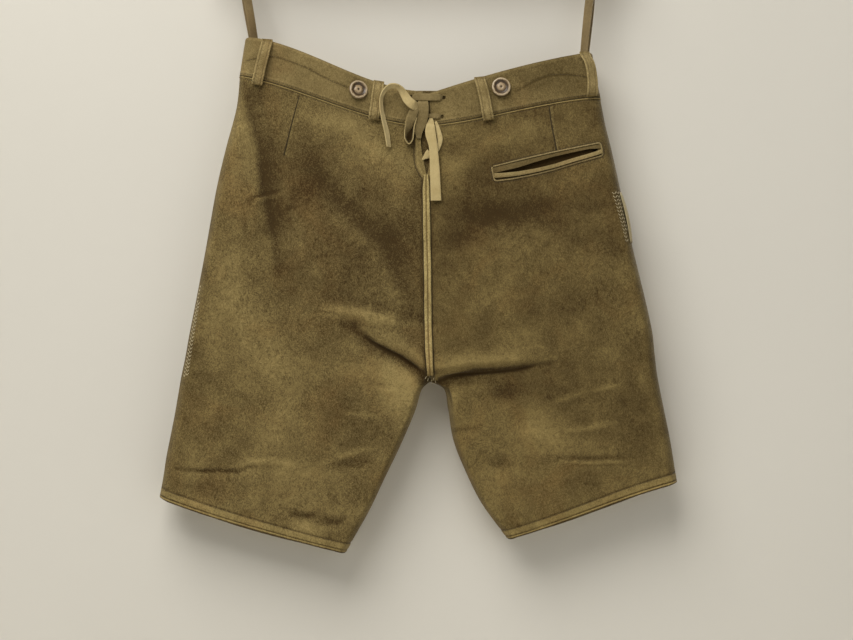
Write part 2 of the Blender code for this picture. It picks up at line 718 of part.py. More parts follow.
# A route has the x of the thong's middle, its distance out from the cloth, its height, its width,
# and how far its width is turned out of the plane of the cloth, in degrees.
Lay = namedtuple("Lay", "x out z width turn")
LACES = {
    "lace_row_top": (8, (
        Lay(-10.5, 1.2, -166, 8.4, 0), Lay(-4, 2.0, -166, 8.4, 0), Lay(8, 2.4, -166, 8.4, 0),
        Lay(22, 2.0, -166.5, 8.4, 0), Lay(28.5, 1.2, -167, 8.0, 0))),
    "lace_row_low": (4, (
        Lay(10.5, 1.4, -189, 5.0, 0), Lay(18, 1.6, -189, 5.5, 0), Lay(26.5, 1.2, -189, 5.0, 0))),
    "lace_drop": (14, (
        Lay(3.6, 2.4, -172, 10.0, 0), Lay(3.4, 5.4, -174.5, 11.0, 0), Lay(3.2, 6.2, -180, 12.0, 0),
        Lay(3.0, 5.9, -188, 12.6, 0), Lay(1.6, 4.6, -198, 11.6, 6), Lay(-0.4, 3.6, -206, 9.6, 12),
        Lay(-1.2, 3.4, -213, 7.0, 18))),
    "lace_teardrop": (28, (
        Lay(-7.5, 12.6, -184.5, 9.5, 8), Lay(-10.4, 12.2, -192, 9.5, 15), Lay(-13.2, 11.2, -201.5, 9.0, 45),
        Lay(-16.8, 9.8, -210.5, 8.0, 80), Lay(-16.8, 9.0, -216.5, 7.5, 84), Lay(-13.2, 8.4, -220.8, 7.0, 85),
        Lay(-9.6, 8.0, -217.5, 7.0, 85), Lay(-7.6, 7.2, -210.5, 6.5, 85), Lay(-6.4, 6.4, -202, 6.0, 85),
        Lay(-5.0, 5.8, -193, 5.5, 84))),
    "lace_tail_left": (32, (
        Lay(-7.2, 12.6, -177.5, 10.5, 0), Lay(-14.6, 12.2, -171, 10.0, 8), Lay(-19.2, 12.0, -163, 9.5, 35),
        Lay(-21.8, 12.2, -156, 9.5, 50), Lay(-27, 12.4, -151.2, 9.0, 62), Lay(-34.8, 12.6, -151.2, 9.0, 64),
        Lay(-42, 12.8, -157.5, 9.0, 67), Lay(-45.6, 12.8, -168, 9.0, 68), Lay(-45.8, 12.6, -180, 9.0, 67),
        Lay(-43.6, 11.6, -193, 9.0, 64), Lay(-39.2, 8.4, -210, 9.0, 56), Lay(-37.2, 6.4, -226, 8.5, 64))),
    "lace_tail_right": (20, (
        Lay(13.2, 2.6, -194.6, 6.0, 0), Lay(12.6, 4.2, -201.6, 10.4, 0), Lay(12.8, 4.8, -210, 12.0, 0),
        Lay(14.6, 4.9, -219.6, 10.8, 0), Lay(16.0, 4.8, -228, 10.4, 0), Lay(17.7, 4.6, -252, 11.4, 3),
        Lay(18.4, 4.6, -274, 12.0, 5), Lay(19.0, 4.8, -290, 12.4, 6))),
    "lace_small_loop": (10, (
        Lay(20.2, 1.5, -200, 3.6, 0), Lay(22.4, 1.7, -209, 5.4, 0), Lay(23.4, 1.8, -217, 6.2, 0),
        Lay(22.8, 1.8, -224, 4.6, 0), Lay(21.6, 1.7, -230, 2.6, 0))),
}


def make_lace(name, collection):
    """A thong laid along its route, in front of the cloth it passes over."""
    count, route = LACES[name]
    places = smooth_path(route, count)
    path, across = [], []
    for x, out, z, _, _ in places:
        side = "left" if x < SLIT_MIDDLE else "right"
        path.append(cloth_point(side, "back", x, z) * (0, 1, 0) + (x, -out, z))
    along = unit(numpy.gradient(numpy.array(path), axis=0))
    for place, tangent in zip(places, along):
        flat = unit(numpy.cross(tangent, (0, 1, 0)))
        angle = math.radians(place[4])
        across.append(flat * math.cos(angle) + numpy.array((0, math.sin(angle), 0)))
    return ribbon(name, path, across, places[:, 3], THONG, "thong", collection)


KNOT_MIDDLE = (4.0, -180.5)
KNOT_RADII = (6.0, 1.8, 4.0)
KNOT_LIFT = 1.0


def make_knot(collection):
    """The tied middle of the lacing: a flattened ball of thong."""
    bpy.ops.mesh.primitive_uv_sphere_add(segments=12, ring_count=8, radius=1)
    knot = bpy.context.active_object
    knot.name = "lace_knot"
    for owner in list(knot.users_collection):
        owner.objects.unlink(knot)
    collection.objects.link(knot)
    face = -cloth_point("right", "back", 16, KNOT_MIDDLE[1])[1]
    centre = Vector((KNOT_MIDDLE[0], -(face + KNOT_RADII[1] + KNOT_LIFT), KNOT_MIDDLE[1])) * MM
    for vertex in knot.data.vertices:
        vertex.co = centre + Vector(tuple(a * r for a, r in zip(vertex.co, KNOT_RADII))) * MM
    knot.data.materials.append(material("lace_knot", "thong"))
    return knot


# ---- hanging ----------------------------------------------------------------

# Where each hanging loop is sewn in, and where it crosses the rod
Hanger = namedtuple("Hanger", "name root_x root_z rod_x twist")
HANGERS = (
    Hanger("hanging_loop_left", -200.0, -94.0, -216.0, HANGER_TWIST),
    Hanger("hanging_loop_right", 197.6, -112.0, 209.0, -HANGER_TWIST),
)


def make_hanger(hanger, collection):
    """A strap from inside the waistband, over the rod and back down beside itself."""
    wrap = ROD_DIAMETER / 2 + SEAM_GAP + HANGER_THICKNESS / 2
    close = (HANGER_THICKNESS + SEAM_GAP) / 2
    foot = hanger.root_z - HANGER_ROOT_DEPTH
    run = []
    steps, bend_steps = 10, 8
    for k in range(steps):
        t = k / steps
        z = foot * (1 - t)
        x = hanger.root_x + (hanger.rod_x - hanger.root_x) * max(0, (z - hanger.root_z) / -hanger.root_z)
        gap = close + (wrap - close) * t ** 1.6
        angle = hanger.twist * (1 - t) ** 1.2
        run.append((x, z, gap, angle))
    path, across = [], []
    for x, z, gap, angle in run:
        path.append((x + gap * math.sin(angle), -gap * math.cos(angle), z))
        across.append((math.cos(angle), math.sin(angle), 0))
    for k in range(bend_steps + 1):
        turn = math.pi * k / bend_steps
        path.append((hanger.rod_x, -wrap * math.cos(turn), wrap * math.sin(turn)))
        across.append((1, 0, 0))
    for x, z, gap, angle in reversed(run):
        path.append((x - gap * math.sin(angle), gap * math.cos(angle), z))
        across.append((math.cos(angle), math.sin(angle), 0))
    return ribbon(hanger.name, path, across, HANGER_WIDTH, HANGER_THICKNESS, "strap", collection)


def make_rod(collection):
    bpy.ops.mesh.primitive_cylinder_add(vertices=32, radius=ROD_DIAMETER / 2 * MM, depth=ROD_LENGTH * MM,
                                        rotation=(0, math.pi / 2, 0))
    rod = bpy.context.active_object
    rod.name = "rod"
    for owner in list(rod.users_collection):
        owner.objects.unlink(rod)
    collection.objects.link(rod)
    rod.data.materials.append(material("rod", "wood"))
    return rod


def build():
    clear_scene()
    parts = new_collection("Lederhosen")
    cutters = new_collection("Cutters")
    panels = {(side, layer): make_panel(side, layer, parts) for layer in LAYERS for side in SIDES}
    for side in SIDES:
        make_band(side, parts)
    cut_pocket_slot(panels["right", "back"], cutters)
    make_gusset(parts)
    make_centre_welt(parts)
    make_flap(parts)
    for loop in BELT_LOOPS:
        make_belt_loop(loop, parts)
    for place in BRACE_BUTTONS:
        make_button(place, LIFT, parts)
    for side, sign in SIDES.items():
        x = FLAP_MIDDLE + sign * (FLAP_TOP_HALF_WIDTH - FLAP_BUTTON_INSET)
        place = ButtonPlace(f"flap_button_{side}", "front", side, x, FLAP_TOP - FLAP_BUTTON_DROP)
        make_button(place, FLAP_LIFT + FLAP_CLOTH + FLAP_BUTTON_LIFT, parts)
    make_pocket_welt("pocket_welt_upper", UPPER_WELT, parts)
    make_pocket_welt("pocket_welt_lower", LOWER_WELT, parts)
    make_pocket_bag(parts)
    make_knife_pocket(parts)
    make_knot(parts)
    for name in LACES:
        make_lace(name, parts)
    make_rod(parts)
    for hanger in HANGERS:
        make_hanger(hanger, parts)


build()
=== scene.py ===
import math
from collections import namedtuple

import bmesh
import bpy
import numpy
from mathutils import Matrix, Vector
from mathutils.bvhtree import BVHTree


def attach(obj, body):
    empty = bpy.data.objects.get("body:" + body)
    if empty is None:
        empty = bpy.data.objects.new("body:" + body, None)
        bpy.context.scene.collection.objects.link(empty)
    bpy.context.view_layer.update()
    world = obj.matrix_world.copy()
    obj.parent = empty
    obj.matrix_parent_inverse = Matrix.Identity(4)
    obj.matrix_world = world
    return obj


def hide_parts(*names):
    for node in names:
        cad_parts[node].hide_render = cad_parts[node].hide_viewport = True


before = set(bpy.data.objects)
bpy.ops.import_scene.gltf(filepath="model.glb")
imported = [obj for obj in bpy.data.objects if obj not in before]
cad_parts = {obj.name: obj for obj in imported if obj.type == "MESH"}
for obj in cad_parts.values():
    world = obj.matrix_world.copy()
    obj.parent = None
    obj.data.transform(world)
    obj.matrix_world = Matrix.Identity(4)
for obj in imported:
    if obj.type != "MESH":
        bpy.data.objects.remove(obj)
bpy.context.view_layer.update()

# ---- Leg panels ---------------------------------------------------------------------------
# Four panels of olive-brown suede, sewn at the sides, the seat and the inner legs. They hang
# hollow. The hem is turned up inside, and the back panels are bound along the laced slit.

MM = 0.001
SEAM_GAP = 0.3
SUEDE = 1.9
SIDE_ROUND = 13.0
INSEAM_ROUND = 9.0
CROTCH_RISE = 56.0
SLIT_END, CROTCH = 2, 8
FRONT_CENTRE = 8.5
HEM = 11.5
SIGN = {"left": -1, "right": 1, "back": -1, "front": 1}
SIDES, LAYERS = ("left", "right"), ("back", "front")

# Down each leg: side x, inner x, the height at the side, a third, two thirds and the inner
# end, the half depths of back and front, and how much lower the front lies.
LEG_ROWS = {
    "left": numpy.array((
        (-216, 1.0, -139, -159, -184, -199, 17, 17, 8), (-220, 1.4, -178, -195, -214, -228, 22, 20, 7),
        (-233, 8.5, -228, -240, -254, -264, 27, 24, 6), (-244, 8.6, -276, -286, -296, -304, 32, 27, 5),
        (-256, 8.6, -344, -350, -355, -358, 36, 29, 3), (-268, 8.6, -408, -412, -414, -415, 37, 30, 1),
        (-276, 10.3, -448, -455, -461, -462, 36, 30, 0), (-281, 11.4, -476, -484, -488, -490, 35, 30, 0),
        (-286, 12.2, -500, -505, -508, -506, 33, 30, 0), (-290, 2.0, -523, -530, -532, -516, 31, 28, 0),
        (-294, -6.0, -546, -556, -557, -542, 29, 27, 0), (-299, -23.6, -571, -583, -590, -583, 27, 26, 1),
        (-304, -42.4, -596, -612, -624, -622, 26, 25, 2), (-308, -61.5, -622, -642, -658, -662, 25, 24, 3),
        (-312, -88.6, -643, -668.8, -690.2, -709.2, 25, 24, 6.5)), dtype=float),
    "right": numpy.array((
        (216, 13.2, -165, -174, -188, -199, 17, 17, 8), (222, 14.4, -197, -206, -218, -228, 22, 20, 7),
        (230, 8.5, -230, -242, -254, -264, 27, 24, 6), (240, 8.6, -276, -286, -295, -304, 32, 27, 5),
        (254, 8.6, -342, -348, -355, -358, 36, 29, 3), (269, 8.6, -404, -409, -414, -415, 37, 30, 1),
        (278, 10.3, -445, -454, -460, -462, 36, 30, 0), (281, 11.4, -472, -481, -487, -490, 35, 30, 0),
        (284, 12.2, -496, -504, -506, -506, 33, 30, 0), (288, 28.8, -518, -529, -530, -515, 31, 28, 0),
        (293, 33.6, -542, -554, -557, -538, 29, 27, 0), (298, 40.0, -566, -581, -588, -576, 27, 26, 1),
        (302, 54.0, -588, -605, -619, -612, 26, 25, 2), (305, 74.0, -607, -628, -647, -652, 25, 24, 3),
        (308, 104, -625.2, -646.2, -670.8, -692.6, 25, 24, 6.5)), dtype=float),
}

# Creases in each layer: the height out of the cloth at start, middle and end, the half widths to the left
# and right of the path, and the path's x and z.
Crease = namedtuple("Crease", "heights left right path")
CREASES = {
    "back": (
        ((-2.5, -6.5, -8.5), 5, 12, ((-80, -441), (-52, -463), (-23, -477.5), (1, -493), (8, -504))),
        ((0, 4.6, 2.5), 9, 10, ((-122, -418), (-96, -422.5), (-59, -428.5), (-38, -433))),
        ((0, 2.2, 3.0), 9, 6, ((-66, -438), (-38, -452), (-8, -470), (4, -484))),
        ((0, -2.2, 0), 6, 5, ((-96, -431), (-80, -433), (-66, -437))),
        ((0, -1.6, -2.6), 12, 9, ((-60, -414), (-28, -420), (2, -432))),
        ((-8.0, -5.2, -0.8), 3.6, 14, ((24, -503), (66, -493.5), (108, -490), (150, -484), (172, -482))),
        ((3.5, 4.6, 0), 10, 6, ((18, -488), (64, -482), (112, -478), (150, -473))),
        ((0, -2.0, 0), 14, 12, ((62, -520), (98, -518), (140, -510))),
        ((-3.0, -4.8, 0), 26, 9, ((-208, -150), (-199, -186), (-187, -231), (-183, -276), (-175, -303),
                                  (-168, -340), (-163, -412))),
        ((0, 2.2, 0), 24, 16, ((-226, -196), (-214, -262), (-204, -350))),
        ((0, -1.5, 0), 2.2, 2.4, ((-204, -293), (-196, -286), (-186, -283), (-174, -281), (-164, -275))),
        ((0, 1.0, 0), 3.5, 3.0, ((-200, -297), (-186, -288), (-168, -284))),
        ((0, -0.9, 0), 2.0, 2.4, ((-208, -300), (-206, -322), (-210, -338))),
        ((-1.0, -1.6, 0), 3, 2.2, ((-290, -609), (-262, -612), (-234, -611), (-216, -612), (-194, -603))),
        ((0, 1.2, 0.4), 3, 4, ((-222, -608), (-206, -601), (-180, -598), (-150, -603))),
        ((0, 1.5, 0), 4, 3, ((-122, -604), (-96, -596), (-72, -588), (-48, -584))),
        ((0, -1.6, 0), 7, 6, ((-104, -606), (-72, -602), (-50, -598))),
        ((0, -2.4, -1.0), 4, 3.4, ((-158, -661), (-142, -665), (-124, -664))),
        ((0, 2.4, 0), 9, 7, ((-160, -677), (-134, -680), (-108, -690))),
        ((0, -2.2, 0), 6, 6, ((-122, -668), (-100, -672), (-84, -664))),
        ((0, 1.0, 0), 3, 3, ((-60, -512), (-44, -515), (-22, -517))),
        ((0, 0.9, 0), 3.4, 3, ((-98, -541), (-70, -545), (-38, -548))),
        ((0, 1.1, 0), 2.2, 2.2, ((166, -600), (204, -602), (248, -600))),
        ((0, -1.3, 0), 4, 3, ((150, -595), (200, -597), (256, -595))),
        ((0, 1.4, 0), 4, 5, ((166, -565), (202, -560), (240, -551))),
        ((0, 1.2, 0), 3.2, 4, ((150, -532), (178, -524), (200, -518))),
        ((0, 1.3, 0), 3.2, 3.2, ((202, -517), (220, -513), (240, -507))),
        ((0, -1.2, 0), 3, 5, ((28, -566), (44, -562), (76, -560))),
        ((0, -1.0, 0), 7, 7, ((40, -606), (90, -603), (130, -606))),
        ((0, 3.2, 0), 30, 34, ((60, -330), (96, -380), (110, -440))),
        ((-0.5, -3.8, 0), 18, 22, ((34, -352), (66, -316), (130, -302), (196, -300))),
        ((0, 3.4, 0), 16, 15, ((30, -292), (46, -250), (84, -222), (140, -200))),
        ((0, -4.4, -1.0), 18, 15, ((-140, -228), (-96, -288), (-40, -340), (-8, -420))),
        ((0, 3.6, 0), 15, 17, ((-150, -180), (-88, -204), (-44, -240), (-20, -288))),
        ((0, 2.6, 0), 34, 30, ((-150, -520), (-140, -570), (-170, -630))),
        ((0, -2.2, 0), 26, 26, ((-250, -540), (-220, -590), (-240, -650))),
        ((0, 2.4, 0), 26, 30, ((120, -560), (180, -590), (150, -640))),
        ((0, -2.4, 0), 22, 20, ((240, -520), (262, -570), (256, -610)))),
    "front": (
        ((-2.0, -5.0, -6.5), 6, 12, ((-84, -438), (-44, -466), (4, -499))),
        ((-5.5, -4.0, -1.0), 6, 13, ((24, -501), (80, -488), (146, -470))),
        ((0, 2.6, 0), 9, 8, ((-70, -420), (-40, -440), (-10, -470))),
        ((0, -3.2, -0.8), 12, 15, ((197, -186), (190, -270), (172, -384))),
        ((0, -2.4, 0), 9, 12, ((-196, -210), (-188, -300), (-176, -360))),
        ((0, -2.6, 0), 9, 10, ((-244, -600), (-180, -610), (-116, -606))),
        ((0, 1.6, 0), 4, 4, ((-212, -560), (-160, -552), (-110, -560))),
        ((0, -2.6, 0), 9, 11, ((116, -590), (170, -596), (234, -592))),
        ((0, 1.4, 0), 4, 5, ((96, -540), (140, -546), (190, -536))),
        ((0, 3.0, 0), 32, 28, ((-160, -420), (-150, -500), (-190, -570))),
        ((0, 2.8, 0), 28, 32, ((150, -400), (160, -480), (130, -560)))),
}

# Folds of the back pressed to a line: half width, depth, how dark the painted shade in the fold is, and the
# path's x and z.
Pressed = namedtuple("Pressed", "wide deep dark path")
PRESSED = (
    (1.5, 2.4, 3.4, ((-68, -451), (-54, -460.5), (-40, -468), (-27, -474), (-14, -482), (2, -493))),
    (1.4, 1.3, 1.8, ((31, -504), (34, -518), (40, -538))),
    (1.3, 2.3, 3.2, ((26, -499.5), (50, -496.6), (90, -493.8), (116, -490.8), (138, -486.4))),
    (1.2, 0.6, 0.9, ((-126, -420), (-102, -425), (-72, -430), (-56, -436))),
    (1.2, 0.6, 0.9, ((-274, -610.5), (-240, -612), (-216, -613), (-204, -607), (-182, -604))),
    (1.2, 0.5, 0.8, ((-150, -664), (-138, -666), (-124, -665))),
    (1.2, 0.5, 0.8, ((168, -603), (206, -605), (246, -603))),
    (1.2, 0.5, 0.7, ((-204, -294), (-194, -286.5), (-184, -283.5), (-170, -280), (-162, -275))),
    (1.2, 0.4, 0.6, ((198, -521), (216, -517.5), (238, -511))))

# Rubbed places, and painted light and shade, in each layer: middle, half widths, and how much lighter the nap
# is.
WearAndShade = namedtuple("WearAndShade", "x z wide high tone")
WEAR_AND_SHADE = {
    "back": (
        (-84, -190, 40, 15, 0.8), (-40, -232, 26, 18, 0.9), (-20, -276, 17, 26, 0.95),
        (-152, -180, 20, 13, 0.5), (-136, -240, 30, 28, -0.6), (-88, -298, 40, 38, -0.5),
        (-32, -350, 34, 42, -0.6), (-8, -412, 16, 36, -0.6), (-179, -270, 14, 100, -0.55),
        # painted shadow under belt loop 1: the spot at (-192, -160)
        (-192, -160, 11, 14, -1.0), (-222, -300, 17, 130, 0.65), (-212, -456, 40, 46, 0.40),
        (-98, -452, 20, 12, -0.5), (-22, -512, 24, 28, 2.3), (-60, -494, 34, 15, 1.1),
        (-88, -540, 24, 28, -0.6), (-60, -572, 22, 18, -0.5), (-215, -594, 80, 50, 0.45),
        (-236, -634, 50, 15, -0.8), (-128, -614, 50, 13, 0.65), (-92, -650, 34, 18, -0.5),
        (-138, -684, 30, 8, 0.8), (-150, -504, 56, 34, 0.25), (-134, -380, 40, 44, -0.25),
        (-240, -380, 20, 50, 0.30), (46, -262, 19, 30, 0.75), (132, -202, 50, 15, 0.55),
        (60, -206, 30, 12, 0.35), (150, -320, 150, 130, -0.9), (-130, -330, 120, 100, -0.6),
        # painted shadow inside the lace's open loop: the spot at (-11, -209)
        (-72, -384, 38, 32, -0.75), (120, -190, 90, 60, -0.5), (-11, -209, 4.6, 12, -5.5),
        (118, -292, 84, 34, -0.45), (50, -310, 22, 60, -0.7), (112, -452, 36, 16, 0.6), (56, -476, 40, 9, 0.75),
        (104, -516, 60, 18, -1.05), (40, -528, 9, 24, 0.9), (136, -562, 34, 24, 1.05),
        (250, -548, 24, 46, -1.0), (212, -424, 24, 44, -0.65), (262, -502, 5, 12, 1.2),
        (74, -590, 22, 18, -0.7), (124, -614, 40, 10, 0.5), (182, -590, 30, 14, -0.4),
        (150, -382, 40, 30, 0.20), (110, -645, 50, 14, 0.30), (190, -224, 18, 22, -0.4),
        (252, -470, 16, 30, -0.5), (226, -330, 14, 40, -0.4)),
    "front": (
        (-150, -420, 60, 60, 0.30), (150, -440, 60, 60, 0.30), (-40, -520, 40, 20, 0.70),
        (60, -500, 40, 18, 0.50), (-200, -560, 50, 30, -0.40), (210, -560, 50, 30, -0.40),
        (-170, -250, 30, 60, -0.40), (170, -250, 30, 60, -0.40)),
}


def curve_between(t, a, b, c, d):
    """A place t of the way from b to c on a smooth curve through four places."""
    return 0.5 * (2 * b + (c - a) * t + (2 * a - 5 * b + 4 * c - d) * t * t
                  + (3 * b - a - 3 * c + d) * t ** 3)


def leg_section(side, v):
    """The nine measures of a leg, v rows down it, on smooth curves. The inner edge turns at the
    slit's foot and at the crotch."""
    rows = LEG_ROWS[side]
    last = len(rows) - 1
    v = numpy.clip(numpy.asarray(v, dtype=float), 0, last)
    i = numpy.minimum(v.astype(int), last - 1)
    breaks = numpy.array((0, SLIT_END, CROTCH, last))
    k = numpy.searchsorted(breaks, i, side="right") - 1
    t = (v - i)[..., None]
    curves = []
    for low, high in ((0, last), (breaks[k], breaks[k + 1])):
        curves.append(curve_between(t, *(rows[numpy.clip(i + n, low, high)] for n in (-1, 0, 1, 2))))
    curves[0][..., (1, 5)] = curves[1][..., (1, 5)]
    return curves[0]


def through_four(u, a, b, c, d):
    """A curve that passes a, b, c and d at 0, a third, two thirds and 1."""
    return (a * (1 - 3 * u) * (2 - 3 * u) * (1 - u) / 2 + b * 9 * u * (2 - 3 * u) * (1 - u) / 2
            - c * 9 * u * (1 - 3 * u) * (1 - u) / 2 + d * u * (1 - 3 * u) * (2 - 3 * u) / 2)


def rounding(distance, width):
    """A quarter round: 0 at an edge and 1 from its width on."""
    return numpy.sqrt(1 - (1 - numpy.clip(distance / width, 0, 1)) ** 2)


def relief(layer, x, z):
    """How far the creases lift the cloth at x and z."""
    total = numpy.zeros(numpy.shape(x))
    for crease in (Crease(*row) for row in CREASES[layer]):
        path = numpy.array(crease.path, dtype=float)
        lengths = numpy.hypot(*(path[1:] - path[:-1]).T)
        nearest = numpy.full(total.shape, 1e6)
        place, on_left = numpy.zeros(total.shape), numpy.zeros(total.shape, dtype=bool)
        walked = 0.0
        for (x0, z0), (x1, z1), length in zip(path, path[1:], lengths):
            t = numpy.clip(((x - x0) * (x1 - x0) + (z - z0) * (z1 - z0)) / length ** 2, 0, 1)
            dx, dz = x - x0 - t * (x1 - x0), z - z0 - t * (z1 - z0)
            away = numpy.hypot(dx, dz)
            closer = away < nearest
            nearest = numpy.where(closer, away, nearest)
            place = numpy.where(closer, (walked + t * length) / lengths.sum(), place)
            on_left = numpy.where(closer, (x1 - x0) * dz - (z1 - z0) * dx > 0, on_left)
            walked += length
        start, middle, end = crease.heights
        height = (start * (1 - place) * (1 - 2 * place) + middle * 4 * place * (1 - place)
                  + end * place * (2 * place - 1))
        total += height * numpy.exp(-(nearest / numpy.where(on_left, crease.left, crease.right)) ** 2)
    return total


def wear_and_shade(layer, x, z):
    """How much lighter the nap is at x and z, from wear and from painted light and shade."""
    total = numpy.zeros(numpy.shape(x))
    for spot in (WearAndShade(*row) for row in WEAR_AND_SHADE[layer]):
        total += spot.tone * numpy.exp(-((x - spot.x) / spot.wide) ** 2 - ((z - spot.z) / spot.high) ** 2)
    return total


def centre_edge(side, layer, v, x):
    """A panel's inner edge: open along the back slit, closed down the front."""
    closed = numpy.asarray(v) <= CROTCH
    if layer == "front":
        x = numpy.where(numpy.asarray(v) < SLIT_END, FRONT_CENTRE, x)
    else:
        closed = closed & (numpy.asarray(v) >= SLIT_END)
    return numpy.where(closed, x + SIGN[side] * SEAM_GAP / 2, x)


def leg_height(side, layer, u, v):
    """z of a place on a leg panel. The front hangs a little lower."""
    row = leg_section(side, v)
    z = through_four(u, row[..., 2], row[..., 3], row[..., 4], row[..., 5])
    if layer == "front":
        drop = numpy.sin(math.pi * u * numpy.where(numpy.asarray(v) < CROTCH, 0.5, 1)).clip(0)
        z = z - row[..., 8] * numpy.where(numpy.asarray(v) > CROTCH, drop ** 0.45, drop)
    return z


def leg_surface(side, layer, u, v):
    """Outside of a leg panel: u from the side seam inwards, v rows down."""
    row = leg_section(side, v)
    inner_x = centre_edge(side, layer, v, row[..., 1])
    x = row[..., 0] + u * (inner_x - row[..., 0])
    z = leg_height(side, layer, u, v)
    under = row[..., 5] - LEG_ROWS[side][CROTCH, 5]
    edge = numpy.where(numpy.asarray(v) < CROTCH, rounding(under, CROTCH_RISE), 0)
    inward = rounding(abs(inner_x - x), INSEAM_ROUND)
    inner = numpy.sqrt(edge ** 2 + (1 - edge ** 2) * inward ** 2)
    outer = rounding(abs(x - row[..., 0]), numpy.minimum(SIDE_ROUND, row[..., 6] + 2))
    depth = (row[..., 6 if layer == "back" else 7] + relief(layer, x, z)) * outer * inner
    return numpy.stack((x, SIGN[layer] * (SEAM_GAP / 2 + depth), z), axis=-1)


def unit(vectors):
    """Vectors made one long."""
    return vectors / numpy.maximum(numpy.linalg.norm(vectors, axis=-1, keepdims=True), 1e-9)


def lengths_along(points):
    """How far along their first axis the points lie."""
    steps = numpy.linalg.norm(numpy.diff(points, axis=0), axis=-1)
    return numpy.concatenate((numpy.zeros_like(steps[:1]), numpy.cumsum(steps, axis=0)))


def evened(values, times):
    """Smooths values along their first axis, with both ends held."""
    for _ in range(times):
        values[1:-1] = (values[:-2] + 2 * values[1:-1] + values[2:]) / 4
    return values


def facing(grid, sign):
    """Outward directions on a grid of surface points whose middle looks along sign times +Y."""
    normal = unit(numpy.cross(numpy.gradient(grid, axis=1), numpy.gradient(grid, axis=0)))
    return normal * sign * math.copysign(1, normal[len(grid) // 2, grid.shape[1] // 2, 1])


def groove(distance, width):
    """1 on a line and less beside it, as deep as a row of stitches pulls."""
    return numpy.exp(-(distance / width) ** 2)


def path_distance(x, z, path):
    """Distance from points to a line through the path's places."""
    nearest = numpy.full(numpy.shape(x), 1e6)
    for (x0, z0), (x1, z1) in zip(path, path[1:]):
        run, rise = x1 - x0, z1 - z0
        t = numpy.clip(((x - x0) * run + (z - z0) * rise) / (run * run + rise * rise), 0, 1)
        nearest = numpy.minimum(nearest, numpy.hypot(x - x0 - t * run, z - z0 - t * rise))
    return nearest


def within(distance, reach, soft):
    """1 up to the reach and 0 beyond it, with a soft change."""
    return 0.5 - 0.5 * numpy.tanh((distance - reach) / (2 * soft))


def blank(kind, **settings):
    """A plain body to work from: a cylinder, a sphere, a disc or a sheet."""
    bpy.ops.object.select_all(action="DESELECT")
    getattr(bpy.ops.mesh, f"primitive_{kind}_add")(**settings)
    return bpy.context.active_object


def select_only(piece):
    """Selects one piece, as Blender's own tools expect."""
    bpy.ops.object.select_all(action="DESELECT")
    piece.select_set(True)
    bpy.context.view_layer.objects.active = piece


def apply_modifiers(piece):
    """Makes a piece's modifiers part of its shape."""
    select_only(piece)
    for modifier in list(piece.modifiers):
        bpy.ops.object.modifier_apply(modifier=modifier.name)


def fitted(piece, slot, finish, *nodes):
    """Gives a finished piece its material, and fixes it to the garment in place of its solids."""
    piece.data.materials.clear()
    piece.data.materials.append(finish)
    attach(piece, "root")
    if nodes:
        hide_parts(*nodes)
    return piece


def placed(name, data):
    """Puts a mesh, a light or a camera into the scene."""
    thing = bpy.data.objects.new(name, data)
    bpy.context.collection.objects.link(thing)
    return thing


def new_piece(name, points, faces):
    """A smooth piece from points in millimetres."""
    mesh = bpy.data.meshes.new(name)
    mesh.from_pydata((points * MM).tolist(), [], faces)
    mesh.polygons.foreach_set("use_smooth", [True] * len(mesh.polygons))
    return placed(name, mesh)


def turned_outwards(piece):
    """Turns a closed piece's faces outwards where they point in."""
    solid = bmesh.new()
    solid.from_mesh(piece.data)
    if solid.calc_volume(signed=True) < 0:
        bmesh.ops.reverse_faces(solid, faces=solid.faces)
        solid.to_mesh(piece.data)
    solid.free()
    return piece


def set_tone(piece, values, name="tone"):
    """Writes one value, or a value for each vertex, that its finish reads by name."""
    values = numpy.broadcast_to(numpy.ravel(values), len(piece.data.vertices))
    attribute = piece.data.attributes.new(name, "FLOAT", "POINT")
    attribute.data.foreach_set("value", values.astype(numpy.float32))


def set_sheet_tone(piece, tone, ring, inside):
    """The tone of a sheet's outside, of its inside as a share of that, and of its cut edge."""
    set_tone(piece, numpy.concatenate((tone.ravel(), tone.ravel() * inside, tone.ravel()[ring])))


def quads(index):
    """The faces of a grid of numbered points."""
    return numpy.stack((index[:-1, :-1], index[:-1, 1:], index[1:, 1:], index[1:, :-1]), -1).reshape(-1, 4)


def cloth_shell(name, outer, inner, edge_out=0.35):
    """A closed sheet between two grids of points in millimetres, with a rounded cut edge."""
    rows, columns = outer.shape[:2]
    half = rows * columns
    index = numpy.arange(half).reshape(rows, columns)
    faces = [quads(index), quads(index + half)[:, ::-1]]
    ring = numpy.concatenate((index[0], index[1:, -1], index[-1, -2::-1], index[-2:0:-1, 0]))
    points = numpy.concatenate((outer.reshape(-1, 3), inner.reshape(-1, 3)))
    near, far = points[ring], points[ring + half]
    along = numpy.roll(near, -1, axis=0) - numpy.roll(near, 1, axis=0)
    out = unit(numpy.cross(near - far, along))
    middle = points[index[rows // 2, columns // 2]]
    out *= numpy.sign(((near - middle) * out).sum(-1, keepdims=True))
    thick = numpy.linalg.norm(near - far, axis=-1, keepdims=True)
    rim = (near + far) / 2 + out * thick * edge_out
    rim_index = numpy.arange(len(ring)) + len(points)
    ahead, rim_ahead = numpy.roll(ring, -1), numpy.roll(rim_index, -1)
    faces.append(numpy.stack((ahead, ring, rim_index, rim_ahead), -1))
    faces.append(numpy.stack((rim_ahead, rim_index, ring + half, ahead + half), -1))
    piece = new_piece(name, numpy.concatenate((points, rim)), numpy.concatenate(faces).tolist())
    return turned_outwards(piece), ring


def connect(tree, made, wanted):
    """Links or sets a node's inputs, by name or by number."""
    for key, value in wanted.items():
        if isinstance(value, bpy.types.NodeSocket):
            tree.links.new(value, made.inputs[key])
        else:
            made.inputs[key].default_value = value


